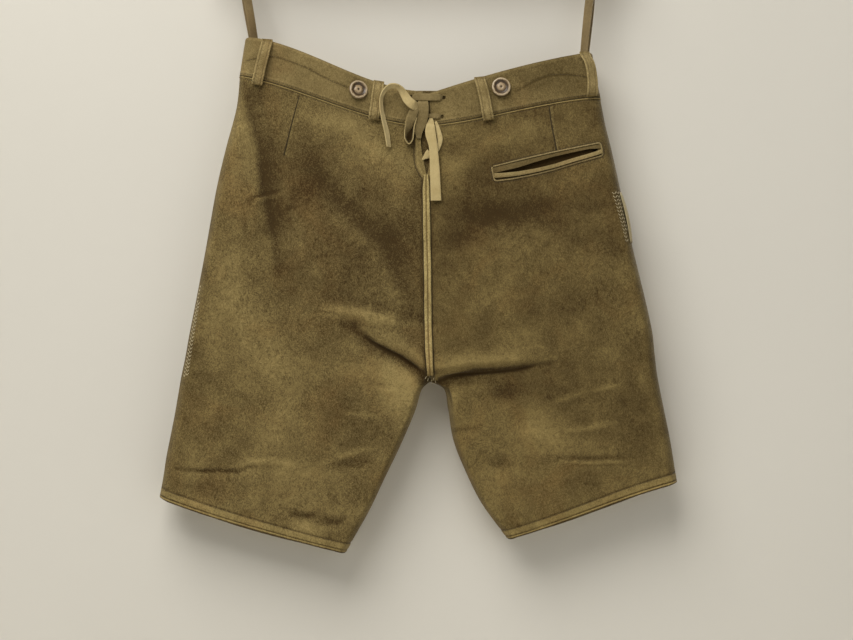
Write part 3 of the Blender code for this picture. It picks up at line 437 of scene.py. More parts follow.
def node(tree, kind, settings=None, values=(), **named):
    """A shader node with its settings and its inputs. Gives its first output."""
    made = tree.nodes.new(kind)
    for key, value in (settings or {}).items():
        setattr(made, key, value)
    connect(tree, made, dict(enumerate(values)) | named)
    return made.outputs[0]


def calc(tree, operation, *values):
    """A sum, product or the like of values in a finish."""
    return node(tree, "ShaderNodeMath", {"operation": operation}, values)


def own_place(tree):
    """A point's place on the garment, in metres."""
    return tree.nodes.new("ShaderNodeTexCoord").outputs["Object"]


def written(tree, name):
    """The value that set_tone wrote on a piece under a name."""
    attribute = tree.nodes.new("ShaderNodeAttribute")
    attribute.attribute_name = name
    return attribute.outputs["Fac"]


def new_finish(name):
    """A finish with its node tree and its shader."""
    made = bpy.data.materials.new(name)
    made.use_nodes = True
    return made, made.node_tree, made.node_tree.nodes["Principled BSDF"]


def leather_group():
    """Nap and mottle of suede: colour from dark to light, the height of the nap, and roughness."""
    group = bpy.data.node_groups.new("leather_surface", "ShaderNodeTree")
    sockets = {"INPUT": {"Dark": "Color", "Light": "Color", "Tone": "Float", "Mottle": "Float", "Nap": "Float"},
               "OUTPUT": {"Colour": "Color", "Height": "Float", "Roughness": "Float"}}
    for direction, named in sockets.items():
        for name, kind in named.items():
            group.interface.new_socket(name, in_out=direction, socket_type=f"NodeSocket{kind}")
    given, result = group.nodes.new("NodeGroupInput"), group.nodes.new("NodeGroupOutput")
    place = own_place(group)

    def noise(where, scale, detail, roughness, distortion=0.0):
        """A cloudy pattern around a half."""
        return node(group, "ShaderNodeTexNoise", Vector=where, Scale=scale, Detail=detail, Roughness=roughness,
                    Distortion=distortion)

    def around_zero(pattern):
        """The same pattern around nothing."""
        return calc(group, "SUBTRACT", pattern, 0.5)

    def held(value, lowest):
        """A value kept between its lowest and 1."""
        return node(group, "ShaderNodeClamp", values=(value, lowest, 1.0))

    def blend(share, first, second):
        """A share of the way from one colour to another."""
        mix = group.nodes.new("ShaderNodeMix")
        mix.data_type = "RGBA"
        for socket, source in zip((0, 6, 7), (share, first, second)):
            group.links.new(source, mix.inputs[socket])
        return mix.outputs[2]

    swirl = group.nodes.new("ShaderNodeTexNoise")
    group.links.new(place, swirl.inputs["Vector"])
    swirl.inputs["Scale"].default_value = 22.0
    bent = node(group, "ShaderNodeVectorMath", {"operation": "MULTIPLY_ADD"},
                (swirl.outputs["Color"], (0.022, 0.022, 0.022), place))
    combed = node(group, "ShaderNodeMapping", Vector=bent, Scale=(1.0, 1.0, 0.74), Rotation=(0, 0.7, 0))
    cloud = noise(place, 8.0, 3.0, 0.6, 0.5)
    mottle = noise(place, 34.0, 6.0, 0.62, 0.6)
    speck = noise(combed, 300.0, 5.0, 0.74, 0.5)
    nap = noise(combed, 820.0, 3.0, 0.75)
    rust = noise(place, 12.0, 5.0, 0.6, 0.8)
    value = calc(group, "MULTIPLY", around_zero(cloud), 0.80)
    value = calc(group, "MULTIPLY_ADD", around_zero(mottle), 0.60, value)
    value = calc(group, "MULTIPLY", value, given.outputs["Mottle"])
    fine = calc(group, "MULTIPLY", around_zero(speck), 0.74)
    fine = calc(group, "MULTIPLY_ADD", around_zero(nap), 1.5, fine)
    value = calc(group, "MULTIPLY_ADD", fine, given.outputs["Nap"], value)
    fold = noise(combed, 88.0, 4.0, 0.55, 1.2)
    fold = calc(group, "MULTIPLY", calc(group, "ABSOLUTE", around_zero(fold)), -20.0)
    fold = calc(group, "MAXIMUM", calc(group, "ADD", fold, 1.0), 0.0)
    uneven = held(calc(group, "MULTIPLY_ADD", cloud, 3.0, -1.0), 0.15)
    fold = calc(group, "MULTIPLY", calc(group, "MULTIPLY", fold, uneven), given.outputs["Mottle"])
    value = calc(group, "MULTIPLY_ADD", fold, -0.20, value)
    value = calc(group, "MULTIPLY_ADD", given.outputs["Tone"], 0.19, value)
    value = calc(group, "POWER", held(calc(group, "ADD", value, 0.5), 0.0), 1.3)
    colour = blend(value, given.outputs["Dark"], given.outputs["Light"])
    warm = node(group, "ShaderNodeHueSaturation", Hue=0.484, Saturation=1.08, Value=0.95, Color=colour)
    where = held(calc(group, "MULTIPLY", around_zero(rust), 3.0), 0.0)
    height = calc(group, "MULTIPLY_ADD", mottle, 1.0, calc(group, "MULTIPLY_ADD", speck, 0.8, nap))
    group.links.new(blend(where, colour, warm), result.inputs["Colour"])
    group.links.new(calc(group, "MULTIPLY_ADD", fold, -0.5, height), result.inputs["Height"])
    group.links.new(calc(group, "MULTIPLY_ADD", value, -0.12, 0.97), result.inputs["Roughness"])
    return group


LEATHER = leather_group()


def leather(name, dark, light, mottle=1.0, nap=1.0, bump=0.0009, sheen=0.08, roughness=None, specular=0.25,
            shade=None):
    """A leather whose colour runs from dark to light by its tone. A strip's shade adds to the tone
    by how far across it a place lies."""
    made, tree, shader = new_finish(name)
    tone = written(tree, "tone")
    if shade:
        tone = calc(tree, "ADD", shade(tree, calc(tree, "ABSOLUTE", written(tree, "across"))), tone)
    surface = tree.nodes.new("ShaderNodeGroup")
    surface.node_tree = LEATHER
    connect(tree, surface, {"Dark": (*dark, 1), "Light": (*light, 1), "Mottle": mottle, "Nap": nap,
                            "Tone": tone})
    connect(tree, shader, {
        "Base Color": surface.outputs["Colour"],
        "Roughness": surface.outputs["Roughness"] if roughness is None else roughness,
        "Normal": node(tree, "ShaderNodeBump", Height=surface.outputs["Height"], Strength=0.75, Distance=bump),
        "Sheen Weight": sheen, "Sheen Roughness": 0.6, "Sheen Tint": (0.85, 0.74, 0.5, 1),
        "Specular IOR Level": specular})
    return made


SUEDE_FINISH = leather("olive_suede", (0.040, 0.0215, 0.0030), (0.310, 0.230, 0.083), nap=1.05)
SMOOTHER_FINISH = leather("olive_suede_smoother", (0.040, 0.0215, 0.0030), (0.300, 0.220, 0.076), nap=0.80)
# Near black suede for the strips of painted shadow along seams.
SEAM_SHADOW_FINISH = leather("seam_shadow_suede", (0.020, 0.0125, 0.0030), (0.066, 0.045, 0.016))


def panel_places(side, layer, pitch):
    """Grid of u and v, close at the rounded edges, the waist seam and the hem."""
    last = len(LEG_ROWS[side]) - 1
    along = numpy.linspace(0, last, 900)
    down = -leg_height(side, layer, numpy.full(900, 0.6), along)
    length = down[-1] - down[0]
    steps = numpy.concatenate((numpy.arange(0, 7, 1.0), numpy.arange(7, length - 14, pitch * 1.12),
                               numpy.linspace(length - 14, length, 22)))
    if layer == "back":
        crotch = numpy.clip(34 - abs(down[0] + steps - 474), 0, 1)
        steps = numpy.sort(numpy.concatenate((steps, (steps[:-1] + steps[1:])[crotch[1:] > 0] / 2)))
    v = numpy.interp(down[0] + steps, down, along)
    for turn in (SLIT_END, CROTCH):
        v[numpy.argmin(abs(v - turn))] = turn
    row = leg_section(side, v)
    span = abs(centre_edge(side, layer, v, row[:, 1]) - row[:, 0])[:, None]
    wide = numpy.minimum(SIDE_ROUND, row[:, 6] + 2)[:, None]
    bend = 14 if layer == "back" else 9
    turn = numpy.linspace(0, math.pi / 2, bend + 1)
    first = wide * (1 - numpy.cos(turn)) / span
    final = 1 - INSEAM_ROUND * (1 - numpy.cos(turn[::-1])) / span
    count = int(250 / pitch)
    middle = first[:, -1:] + (final[:, :1] - first[:, -1:]) * numpy.linspace(0, 1, count + 1)[1:-1]
    u = numpy.concatenate((first, middle, final), axis=1)
    return u, numpy.broadcast_to(v[:, None], u.shape)


def sewn_panel(side, layer, pitch):
    """One leg panel with its hem, its sewn edges, its creases, its wear and its painted light and shade, and
    its outer face.
    """
    u, v = panel_places(side, layer, pitch)
    grid = leg_surface(side, layer, u, v)
    grid[0, :, 2] -= SEAM_GAP / 2
    normal = facing(grid, SIGN[layer])
    x, z = grid[..., 0], grid[..., 2]
    from_top = lengths_along(grid)
    from_hem = from_top[-1] - from_top
    ripple = numpy.sin(x / 2.1 + 0.7 * numpy.sin(x / 13)) * 0.5 + numpy.sin(x / 6.3 + 1.3) * 0.5
    band = within(from_hem, HEM, 0.7)
    sewn = (0.55 * band * (1 + 0.25 * ripple) - 0.75 * groove(from_hem - HEM - 0.4, 1.2)
            - 0.8 * groove(from_hem - 2.9, 0.8))
    sewn += 0.3 * ripple * groove(from_hem - HEM - 3.5, 3.5)
    sewn += 0.35 * groove(from_top - 1.0, 1.2) - 0.45 * groove(from_top - 2.9, 0.9)
    sewn += 0.22 * numpy.sin(x / 3.1 + numpy.sin(x / 9)) * groove(from_top - 6, 5)
    wide = (0.30 * numpy.sin(x / 17 + z / 41) + 0.25 * numpy.sin(x / 29 - z / 19 + 1)
            + 0.2 * numpy.sin(z / 11 + x / 47))
    tone = wear_and_shade(layer, x, z) + 1.35 * band - 1.9 * groove(from_hem - HEM - 0.4, 1.2)
    # A painted highlight on the rolled hem edge, between painted shadow at the very edge and in a line just
    # above it.
    tone += 1.3 * groove(from_hem - 1.5, 0.8) - 3.4 * groove(from_hem, 0.7) - 3.4 * groove(from_hem - 2.9, 0.75)
    if layer == "back":
        inner_x = centre_edge(side, layer, v, leg_section(side, v)[..., 1])
        beside = abs(inner_x - x)
        bound = numpy.clip((SLIT_END + 0.15 - v) * 6, 0, 1)
        edge = 1.5 * bound * within(beside, 6.2, 0.5)
        sewn += 0.7 * edge - 0.5 * bound * groove(beside - 6.9, 0.9)
        # A line of painted shade runs along the outer side of the slit's bound edge.
        tone += 0.9 * edge - 1.2 * bound * groove(beside - 6.9, 0.9)
        seam = numpy.clip((v - SLIT_END) * 3, 0, 1) * numpy.clip((CROTCH + 0.3 - v) * 4, 0, 1)
        sewn -= 0.6 * seam * groove(beside - 5, 2.2)
        # Painted shade beside the centre strip, along the seat seam.
        tone -= 0.7 * seam * groove(beside - 5.5, 2.6)
        for line in (Pressed(*row) for row in PRESSED):
            start, end = (numpy.hypot(x - line.path[k][0], z - line.path[k][1]) for k in (0, -1))
            near = groove(path_distance(x, z, line.path), line.wide)
            ends = numpy.minimum(1, numpy.minimum(start, end) / 14)
            sewn -= line.deep * near * ends
            # Each pressed fold is darkened with painted shade.
            tone -= line.dark * near * ends
    fading = numpy.clip(from_top / 4, 0, 1) * numpy.clip(u * 25, 0, 1) * numpy.clip((1 - u) * 25, 0, 1)
    grid = grid + normal * (sewn * numpy.clip(u * 60, 0, 1) + wide * fading)[..., None]
    # Ridges are painted lighter and hollows darker: partly rubbed nap on the ridges, partly painted shade in
    # the hollows.
    lift = relief(layer, x, z) + wide
    around = lift.copy()
    for _ in range(20):
        evened(around, 1)
        evened(around.T, 1)
    tone = tone + numpy.clip(lift * 0.10, -0.9, 0.5) + numpy.clip((lift - around) * 1.1, -1.3, 0.9)
    normal = facing(grid, SIGN[layer])
    turn = int(numpy.argmin(abs(v[:, 0] - CROTCH)))
    normal[(0, -1), :, 2] = 0
    normal[:, 0, 1] = 0
    normal[:turn + 1, -1, 0] = 0
    normal[turn:, -1, 1] = 0
    normal[turn, -1] = (0, 0, -1)
    normal = unit(normal)
    inner = grid - normal * (SUEDE + 1.3 * band)[..., None]
    clamp = numpy.minimum if layer == "back" else numpy.maximum
    inner[..., 1] = clamp(inner[..., 1], SIGN[layer] * SEAM_GAP / 2)
    piece, ring = cloth_shell(f"panel_{layer}_{side}", grid, inner)
    set_sheet_tone(piece, tone, ring, 0.3)
    fitted(piece, "suede", SUEDE_FINISH if side == "left" else SMOOTHER_FINISH, f"{layer}_{side}")
    return piece, grid


panels, outsides = {}, {"back": [], "front": []}
for layer, pitch in (("back", 2.1), ("front", 3.4)):
    for side in SIDES:
        panels[side, layer], surface = sewn_panel(side, layer, pitch)
        outsides[layer].append(surface)


# ---- Waistband ----------------------------------------------------------------------------
# Two halves of doubled suede that meet at the laced centre back. Each is lapped over the tops
# of the legs and sewn with two rows, and has a curved row where its facing ends.

BAND_PROUD = 0.6
BAND_CLOTH = 2.6
BAND_TOP_DEPTH = 15.0
FRONT_BAND_DROP = 9.0
# Side x, inner x, and the height of the top edge at the side, a third, two thirds and the end
BAND_TOP = {"left": (-209, 3.5, -94, -113, -142.5, -159), "right": (206.4, 11.0, -112, -124.4, -141.5, -162)}
FACING_ROWS = {
    "left": ((-208, -122.5), (-196, -120), (-185, -117.8), (-169, -119), (-137, -130.5), (-110, -145),
             (-88, -154)),
    "right": ((114, -159.5), (137, -147), (155, -140), (176, -139.5), (198, -142)),
}
EYELETS = {"left": ((-10.4, -165.8), (-9.2, -189.4)), "right": ((28.6, -166.8), (26.4, -189.6))}
EYELET = 2.1
RAY_START = 200


def band_surface(side, layer, u, h):
    """Outside of the waistband: h is 0 at the waist seam and 1 at the top edge."""
    u = numpy.asarray(u, dtype=float)
    waist = numpy.zeros_like(u)
    seam = leg_surface(side, layer, u, waist)
    along = (leg_surface(side, layer, numpy.minimum(u + 0.004, 1), waist)
             - leg_surface(side, layer, numpy.maximum(u - 0.004, 0), waist))
    out = unit(numpy.stack((-along[..., 1], along[..., 0], numpy.zeros_like(u)), axis=-1))
    out *= (SIGN[layer] * numpy.copysign(1, out[..., 1]))[..., None]
    out[u == 0] = (SIGN[side], 0, 0)
    low = seam + out * BAND_PROUD + numpy.array((0, 0, SEAM_GAP / 2))
    side_x, inner_x, *heights = BAND_TOP[side]
    x = side_x + u * (centre_edge(side, layer, waist, inner_x) - side_x)
    z = through_four(u, *heights)
    if layer == "front":
        z = z - FRONT_BAND_DROP * numpy.sin(math.pi * u / 2)
    depth = (BAND_TOP_DEPTH + BAND_PROUD) * rounding(abs(x - side_x), BAND_TOP_DEPTH + 2)
    high = numpy.stack((x, SIGN[layer] * depth, z), axis=-1)
    low[..., 1] = numpy.where(u == 0, 0, low[..., 1])
    return low + numpy.asarray(h)[..., None] * (high - low)


def waist_half(side):
    """Half the waistband in one piece, from the centre back round the side to the centre front, with
    its outer face and the column at the side."""
    edge = (1 - numpy.cos(numpy.linspace(0, math.pi / 2, 12))) * 19.0 / 214
    back, front = (numpy.concatenate((edge, numpy.linspace(edge[-1], 1, count)[1:])) for count in (101, 61))
    heights = numpy.linspace(1, 0, 32)
    grid = numpy.concatenate([band_surface(side, layer, *numpy.meshgrid(places, heights))
                              for layer, places in (("back", back[::-1]), ("front", front[1:]))], axis=1)
    seam_side = len(back) - 1
    normal = unit(numpy.cross(numpy.gradient(grid, axis=1), numpy.gradient(grid, axis=0)))
    normal *= math.copysign(1, -normal[15, 30, 1])
    x, z = grid[..., 0], grid[..., 2]
    h = numpy.broadcast_to(heights[:, None], x.shape)
    tall = numpy.linalg.norm(grid[0] - grid[-1], axis=-1)
    up, down = h * tall, (1 - h) * tall
    column = numpy.arange(x.shape[1])
    at_back = column <= seam_side
    facing_row = groove(path_distance(x, z, FACING_ROWS[side]), 1.3) * at_back
    sewn = -0.5 * groove(up - 2.1, 1.0) + 0.3 * groove(up - 3.8, 1.3) - 0.35 * groove(up - 5.4, 0.9)
    sewn -= 0.55 * facing_row + 0.9 * groove(down, 1.0) - 0.25 * groove(down - 3.5, 1.8)
    sewn += 0.16 * numpy.sin(x / 2.6 + numpy.sin(x / 11)) * groove(up - 4, 4)
    sewn += (0.35 * numpy.sin(x / 21 + 0.8) * numpy.sin(math.pi * h)
             + 0.3 * numpy.sin(x / 9.5 + z / 13) * h * (1 - h) * 3)
    for hole_x, hole_z in EYELETS[side]:
        sewn -= 0.9 * at_back * groove(numpy.hypot(x - hole_x, z - hole_z), 3.2)
    ends = numpy.minimum(column, column[::-1]) / 2
    sewn -= 0.5 * groove(ends, 1.0) - 0.3 * groove(ends - 3, 1.5)
    grid = grid + normal * sewn[..., None]
    normal[..., 2] = 0
    normal[:, seam_side, 1] = 0
    normal[:, (0, -1), 0] = 0
    inner = grid - BAND_CLOTH * unit(normal)
    # Painted shade darkens the facing row, the stitched row, the foot of the band and its top edge; painted
    # highlights lighten the puffed line above the stitches and the band just below its top.
    tone = (0.25 - 1.5 * facing_row - 1.3 * groove(up - 2.1, 0.9) - 0.7 * groove(up, 1.0)
            + 0.7 * groove(up - 3.8, 1.2))
    tone += 0.6 * groove(down - 1.5, 1.6) - 0.5 * groove(down, 0.8)
    # Painted light and shade along the halves: the left half is lighter, most towards its side, and darker near
    # the centre back and round its brace button; the right half is darker over its outer part, where its loops
    # and button shade it, and lighter low in the middle of that.
    if side == "left":
        tone += 0.35 + 0.5 * groove(x + 205, 30) - 0.7 * groove(x + 10, 26) - 0.4 * groove(x + 76, 20)
    else:
        tone += -1.1 * groove(x - 160, 62) + 0.8 * groove(x - 150, 40) * within(up, 16, 3)
    piece, ring = cloth_shell(f"waistband_cloth_{side}", grid, inner, edge_out=0.2)
    set_sheet_tone(piece, tone, ring, 0.4)
    return piece, grid, seam_side


def cut_away(piece, tool):
    """Cuts a tool's shape out of a piece."""
    cut = piece.modifiers.new("cut", "BOOLEAN")
    cut.operation, cut.solver, cut.object = "DIFFERENCE", "EXACT", tool
    apply_modifiers(piece)
    bpy.data.objects.remove(tool, do_unlink=True)


BAND_FINISH = leather("waistband_suede", (0.058, 0.037, 0.0080), (0.320, 0.236, 0.092), mottle=0.8, nap=0.8)
for side in SIDES:
    band, surface, seam_side = waist_half(side)
    outsides["back"].append(surface[:, :seam_side + 1])
    outsides["front"].append(surface[:, seam_side:])
    for hole_x, hole_z in EYELETS[side]:
        cut_away(band, blank("cylinder", vertices=20, radius=EYELET * MM, depth=16 * MM,
                             location=(hole_x * MM, -18 * MM, hole_z * MM), rotation=(math.pi / 2, 0, 0)))
    fitted(band, "waistband", BAND_FINISH, f"waistband_{side}")


def tree_of(grids):
    """Sheets that rays can be shot at, to find a place on them."""
    points, faces, start = [], [], 0
    for grid in grids:
        rows, columns = grid.shape[:2]
        points.append(grid.reshape(-1, 3))
        faces.append(quads(numpy.arange(rows * columns).reshape(rows, columns) + start))
        start += rows * columns
    return BVHTree.FromPolygons(numpy.concatenate(points).tolist(), numpy.concatenate(faces).tolist())


cloth_trees = {layer: tree_of(grids) for layer, grids in outsides.items()}


def touch(layer, x, z):
    """The garment's outside straight behind a place x and z, in millimetres."""
    towards = -SIGN[layer]
    for shift in (0, 0.6, -0.6, 1.4, -1.4, 2.5, -2.5, 5, -5):
        for drop in (0, 0.8, -0.8, 2):
            start = Vector((x + shift, -towards * RAY_START, z + drop))
            hit = cloth_trees[layer].ray_cast(start, Vector((0, towards, 0)))[0]
            if hit is not None:
                return numpy.array((x, hit.y, z))
    return numpy.array((x, 0.0, z))


def lie(layer, x, z, reach=1.6):
    """A place on the garment with its outward direction."""
    point = touch(layer, x, z)
    across = touch(layer, x + reach, z) - touch(layer, x - reach, z)
    up = touch(layer, x, z + reach) - touch(layer, x, z - reach)
    normal = unit(numpy.cross(across, up))
    return point, normal * SIGN[layer] * math.copysign(1, normal[1])


# ---- Sewing thread ------------------------------------------------------------------------
# Short stitches of brown linen thread, 2.6 mm apart, sunk a little into the suede. One stitch
# is modelled and repeated along each sewn row.

STITCH_PITCH = 2.6
model_stitch = blank("uv_sphere", segments=6, ring_count=4, radius=0.5)
STITCH_POINTS = numpy.array([tuple(vertex.co) for vertex in model_stitch.data.vertices])
# Sorted, because a sphere's faces come in another order each time
STITCH_FACES = sorted(tuple(face.vertices) for face in model_stitch.data.polygons)
bpy.data.objects.remove(model_stitch, do_unlink=True)


def stitched(name, places, length, width, finish, slot="suede", high=0.6):
    """One piece of many stitches. A place is its middle, its direction along the row, and outward."""
    points, faces = [], []
    for k, (middle, along, out) in enumerate(places):
        along = unit(along - out * numpy.dot(along, out))
        wide = numpy.cross(along, out)
        points.append(middle + STITCH_POINTS @ numpy.stack((wide * width, out * width * high, along * length)))
        faces += [tuple(n + k * len(STITCH_POINTS) for n in face) for face in STITCH_FACES]
    return fitted(new_piece(name, numpy.concatenate(points), faces), slot, finish)


def colour_ramp(tree, value, *stops):
    """Colour from a value by stops, each a position and a colour."""
    ramp = tree.nodes.new("ShaderNodeValToRGB")
    elements = ramp.color_ramp.elements
    for k, (position, colour) in enumerate(stops):
        element = elements[k] if k < 2 else elements.new(position)
        element.position, element.color = position, (*colour, 1)
    tree.links.new(value, ramp.inputs["Fac"])
    return ramp.outputs["Color"]


def thread(name, colour):
    """Linen thread, darker and lighter along its fibres."""
    made, tree, shader = new_finish(name)
    fibre = node(tree, "ShaderNodeTexNoise", Vector=own_place(tree), Scale=900.0, Detail=2.0)
    dark, light = ([part * share for part in colour] for share in (0.6, 1.3))
    connect(tree, shader, {
        "Base Color": colour_ramp(tree, fibre, (0.3, dark), (0.7, light)),
        "Normal": node(tree, "ShaderNodeBump", Height=fibre, Strength=0.5, Distance=0.0002),
        "Roughness": 0.75})
    return made


BROWN_THREAD = thread("brown_thread", (0.034, 0.021, 0.008))
PALE_THREAD = thread("pale_thread", (0.60, 0.51, 0.31))
OLIVE_THREAD = thread("olive_thread", (0.150, 0.108, 0.042))


def smooth_route(route, count):
    """Places spread evenly along a curve through the route's own places."""
    route = numpy.array(route, dtype=float)
    last = len(route) - 1
    at = numpy.linspace(0, last, count + 1)
    i = numpy.minimum(at.astype(int), last - 1)
    return curve_between((at - i)[:, None], *(route[numpy.clip(i + n, 0, last)] for n in (-1, 0, 1, 2)))


def at_length(where, walked, line):
    """The places on a line that lie a given way along it."""
    return numpy.stack([numpy.interp(where, walked, line[:, k]) for k in range(line.shape[1])], axis=-1)


def along_path(path, pitch):
    """Even places along a smooth line through the path, with directions."""
    fine = smooth_route(path, 40 * (len(path) - 1))
    walked = lengths_along(fine)
    places = at_length(numpy.arange(pitch / 2, walked[-1], pitch), walked, fine)
    return places, unit(numpy.gradient(places, axis=0))


def row_on_cloth(layer, path, pitch=STITCH_PITCH, sunk=0.0):
    """A row laid on the garment along a path of x and z."""
    places, directions = along_path(path, pitch)
    row = []
    for (x, z), (run, rise) in zip(places, directions):
        point, out = lie(layer, x, z)
        row.append((point - out * sunk, numpy.array((run, 0, rise)), out))
    return row


def row_on_grid(grid, normal_sign, row_distance, from_row, pitch=STITCH_PITCH, sunk=0.0):
    """A row that runs along a panel or band, a set distance down from its top or up from its foot."""
    walked = lengths_along(grid)
    if from_row == "foot":
        walked = walked[-1] - walked
    out = facing(grid, normal_sign)
    line, facing_out = [], []
    for k in range(grid.shape[1]):
        order = numpy.argsort(walked[:, k])
        line.append(at_length(row_distance, walked[order, k], grid[order, k]))
        nearest = order[numpy.searchsorted(walked[order, k], row_distance).clip(0, len(order) - 1)]
        facing_out.append(out[nearest, k])
    line = numpy.array(line)
    length = lengths_along(line)
    where = numpy.arange(2.0, length[-1] - 1, pitch)
    points, outs = at_length(where, length, line), unit(at_length(where, length, numpy.array(facing_out)))
    alongs = unit(numpy.gradient(points, axis=0))
    return [(p - o * sunk, a, o) for p, a, o in zip(points, alongs, outs)]


leg_grids = {(layer, side): outsides[layer][k] for layer in LAYERS for k, side in enumerate(SIDES)}
band_grids = {(layer, side): outsides[layer][k + 2] for layer in LAYERS for k, side in enumerate(SIDES)}
for side in SIDES:
    hem_rows, waist_rows = [], []
    for layer in LAYERS:
        hem_rows += row_on_grid(leg_grids[layer, side], SIGN[layer], HEM + 0.4, "foot", sunk=0.12)
        waist_rows += row_on_grid(leg_grids[layer, side], SIGN[layer], 4.2, "top", sunk=0.05)
        waist_rows += row_on_grid(band_grids[layer, side], SIGN[layer], 2.5, "foot", sunk=0.05)
    stitched(f"hem_stitches_{side}", hem_rows, 2.1, 0.75, BROWN_THREAD)
    stitched(f"waist_stitches_{side}", waist_rows, 2.0, 0.7, BROWN_THREAD)
    facing_row = row_on_cloth("back", FACING_ROWS[side], sunk=0.1)
    stitched(f"facing_stitches_{side}", facing_row, 1.9, 0.65, BROWN_THREAD, "waistband")


# ---- Strips of leather --------------------------------------------------------------------
# Belt loops, welts, bindings and straps are cut in strips. Two belt loops stand at each side of
# the centre back, two further out and two on the front, bowed for a belt.

def square_to(along, directions):
    """Directions turned square to others."""
    return unit(directions - along * (directions * along).sum(-1, keepdims=True))


def strip_piece(name, path, across, widths, thickness, profile):
    """A strip along a path of points, whose profile is in half widths and half thicknesses."""
    path, across, profile = (numpy.array(given, dtype=float) for given in (path, across, profile))
    widths, thickness = (numpy.broadcast_to(given, len(path))[:, None, None] for given in (widths, thickness))
    along = unit(numpy.gradient(path, axis=0))
    wide = square_to(along, across)
    deep = numpy.cross(along, wide)
    rings = (path[:, None] + profile[None, :, :1] * wide[:, None] * widths / 2
             + profile[None, :, 1:] * deep[:, None] * thickness / 2)
    count, around = rings.shape[:2]
    index = numpy.arange(count * around).reshape(count, around)
    after = numpy.roll(index, -1, axis=1)
    faces = numpy.stack((index[:-1], after[:-1], after[1:], index[1:]), -1).reshape(-1, 4).tolist()
    faces += [index[0][::-1].tolist(), index[-1].tolist()]
    piece = turned_outwards(new_piece(name, rings.reshape(-1, 3), faces))
    set_tone(piece, numpy.tile(profile[:, 0], count), "across")
    set_tone(piece, numpy.tile(profile[:, 1], count), "depth")
    select_only(piece)
    bpy.ops.object.shade_smooth_by_angle(angle=math.radians(50))
    return piece


# Cross-sections: a plain thong, a strip with turned and sewn edges, and a narrow line.
THONG_SECTION = ((-1, -0.35), (-0.86, -0.9), (-0.5, -1), (0, -1), (0.5, -1), (0.86, -0.9), (1, -0.35),
                 (1, 0.35), (0.86, 0.9), (0.5, 1), (0, 1), (-0.5, 1), (-0.86, 0.9), (-1, 0.35))
LOOP_SECTION = ((-1, -0.6), (-1, 0.3), (-0.94, 0.8), (-0.82, 1.05), (-0.68, 0.95), (-0.58, 0.6), (-0.48, 0.85),
                (-0.2, 0.95), (0, 0.97), (0.2, 0.95), (0.48, 0.85), (0.58, 0.6), (0.68, 0.95), (0.82, 1.05),
                (0.94, 0.8), (1, 0.3), (1, -0.6), (0.8, -0.85), (0, -0.9), (-0.8, -0.85))
LINE_SECTION = ((-1, -1), (-0.7, 0.4), (0, 1), (0.7, 0.4), (1, -1))


def laid_line(name, row, wide, high, tone, finish, slot="suede"):
    """A narrow strip along a row of places on the cloth: a turned edge painted lighter as a highlight, or a
    dark strip of painted shadow along a seam.
    """
    path = numpy.array([point + out * (high / 2 - 0.1) for point, _, out in row])
    across = numpy.array([numpy.cross(out, along) for _, along, out in row])
    piece = strip_piece(name, path, across, wide, high + 0.2, LINE_SECTION)
    set_tone(piece, tone)
    return fitted(piece, slot, finish)


# Along each waist seam: a dark strip of painted shadow, and below it a lighter strip on the turned edge as a
# painted highlight.
for side in SIDES:
    for layer in LAYERS:
        grid = leg_grids[layer, side]
        laid_line(f"waist_seam_{layer}_{side}", row_on_grid(grid, SIGN[layer], 0.7, "top", 2.0),
                  1.1, 0.3, 0.0, SEAM_SHADOW_FINISH)
        laid_line(f"waist_edge_{layer}_{side}", row_on_grid(grid, SIGN[layer], 2.0, "top", 2.0),
                  1.5, 0.9, 2.6, SUEDE_FINISH)

LOOP_WIDTH = 13.0
LOOP_THICKNESS = 2.0
LOOP_LIFT = 0.9
LOOP_ROW = 0.58
# Where each loop is sewn down, top and foot, the room under its bow and how far it sways aside
BeltLoop = namedtuple("BeltLoop", "name layer x_top z_top x_foot z_foot room sway")
BELT_LOOPS = (
    BeltLoop("belt_loop_1", "back", -182, -99, -194, -152, 6.6, 0),
    BeltLoop("belt_loop_2", "back", -49, -149, -55, -194, 6.6, 0),
    BeltLoop("belt_loop_3", "back", 71, -144, 82, -195, 6.8, 0.8),
    BeltLoop("belt_loop_4", "back", 196, -114, 204, -166, 7.2, 1.6),
    BeltLoop("belt_loop_front_left", "front", -130, -133, -136, -182, 6.0, 0),
    BeltLoop("belt_loop_front_right", "front", 130, -138, 136, -189, 6.0, 0),
)
# How far each share of a loop's length stands out, as a share of the room
LOOP_BOW = ((0, 0), (0.07, 0.1), (0.16, 0.72), (0.28, 1), (0.42, 1), (0.58, 1), (0.72, 1), (0.84, 0.95),
            (0.94, 0.66), (1, 0.24))


def edge_wear(edge_light, groove_at=None):
    """Shading for a strip, rubbed lighter along both edges and darker in a sewn channel."""
    def shade(tree, far):
        edge = calc(tree, "MAXIMUM", calc(tree, "SUBTRACT", far, 0.66), 0.0)
        edge = calc(tree, "MULTIPLY", edge, edge_light * 3)
        if groove_at is None:
            return edge
        channel = calc(tree, "ABSOLUTE", calc(tree, "SUBTRACT", far, groove_at))
        channel = calc(tree, "MAXIMUM", calc(tree, "SUBTRACT", 0.16, channel), 0.0)
        return calc(tree, "MULTIPLY_ADD", channel, -8.0, edge)
    return shade


def softened(values, weights):
    """Values averaged with two neighbours on each side."""
    return numpy.convolve(numpy.pad(values, 2, mode="edge"), weights, mode="valid")


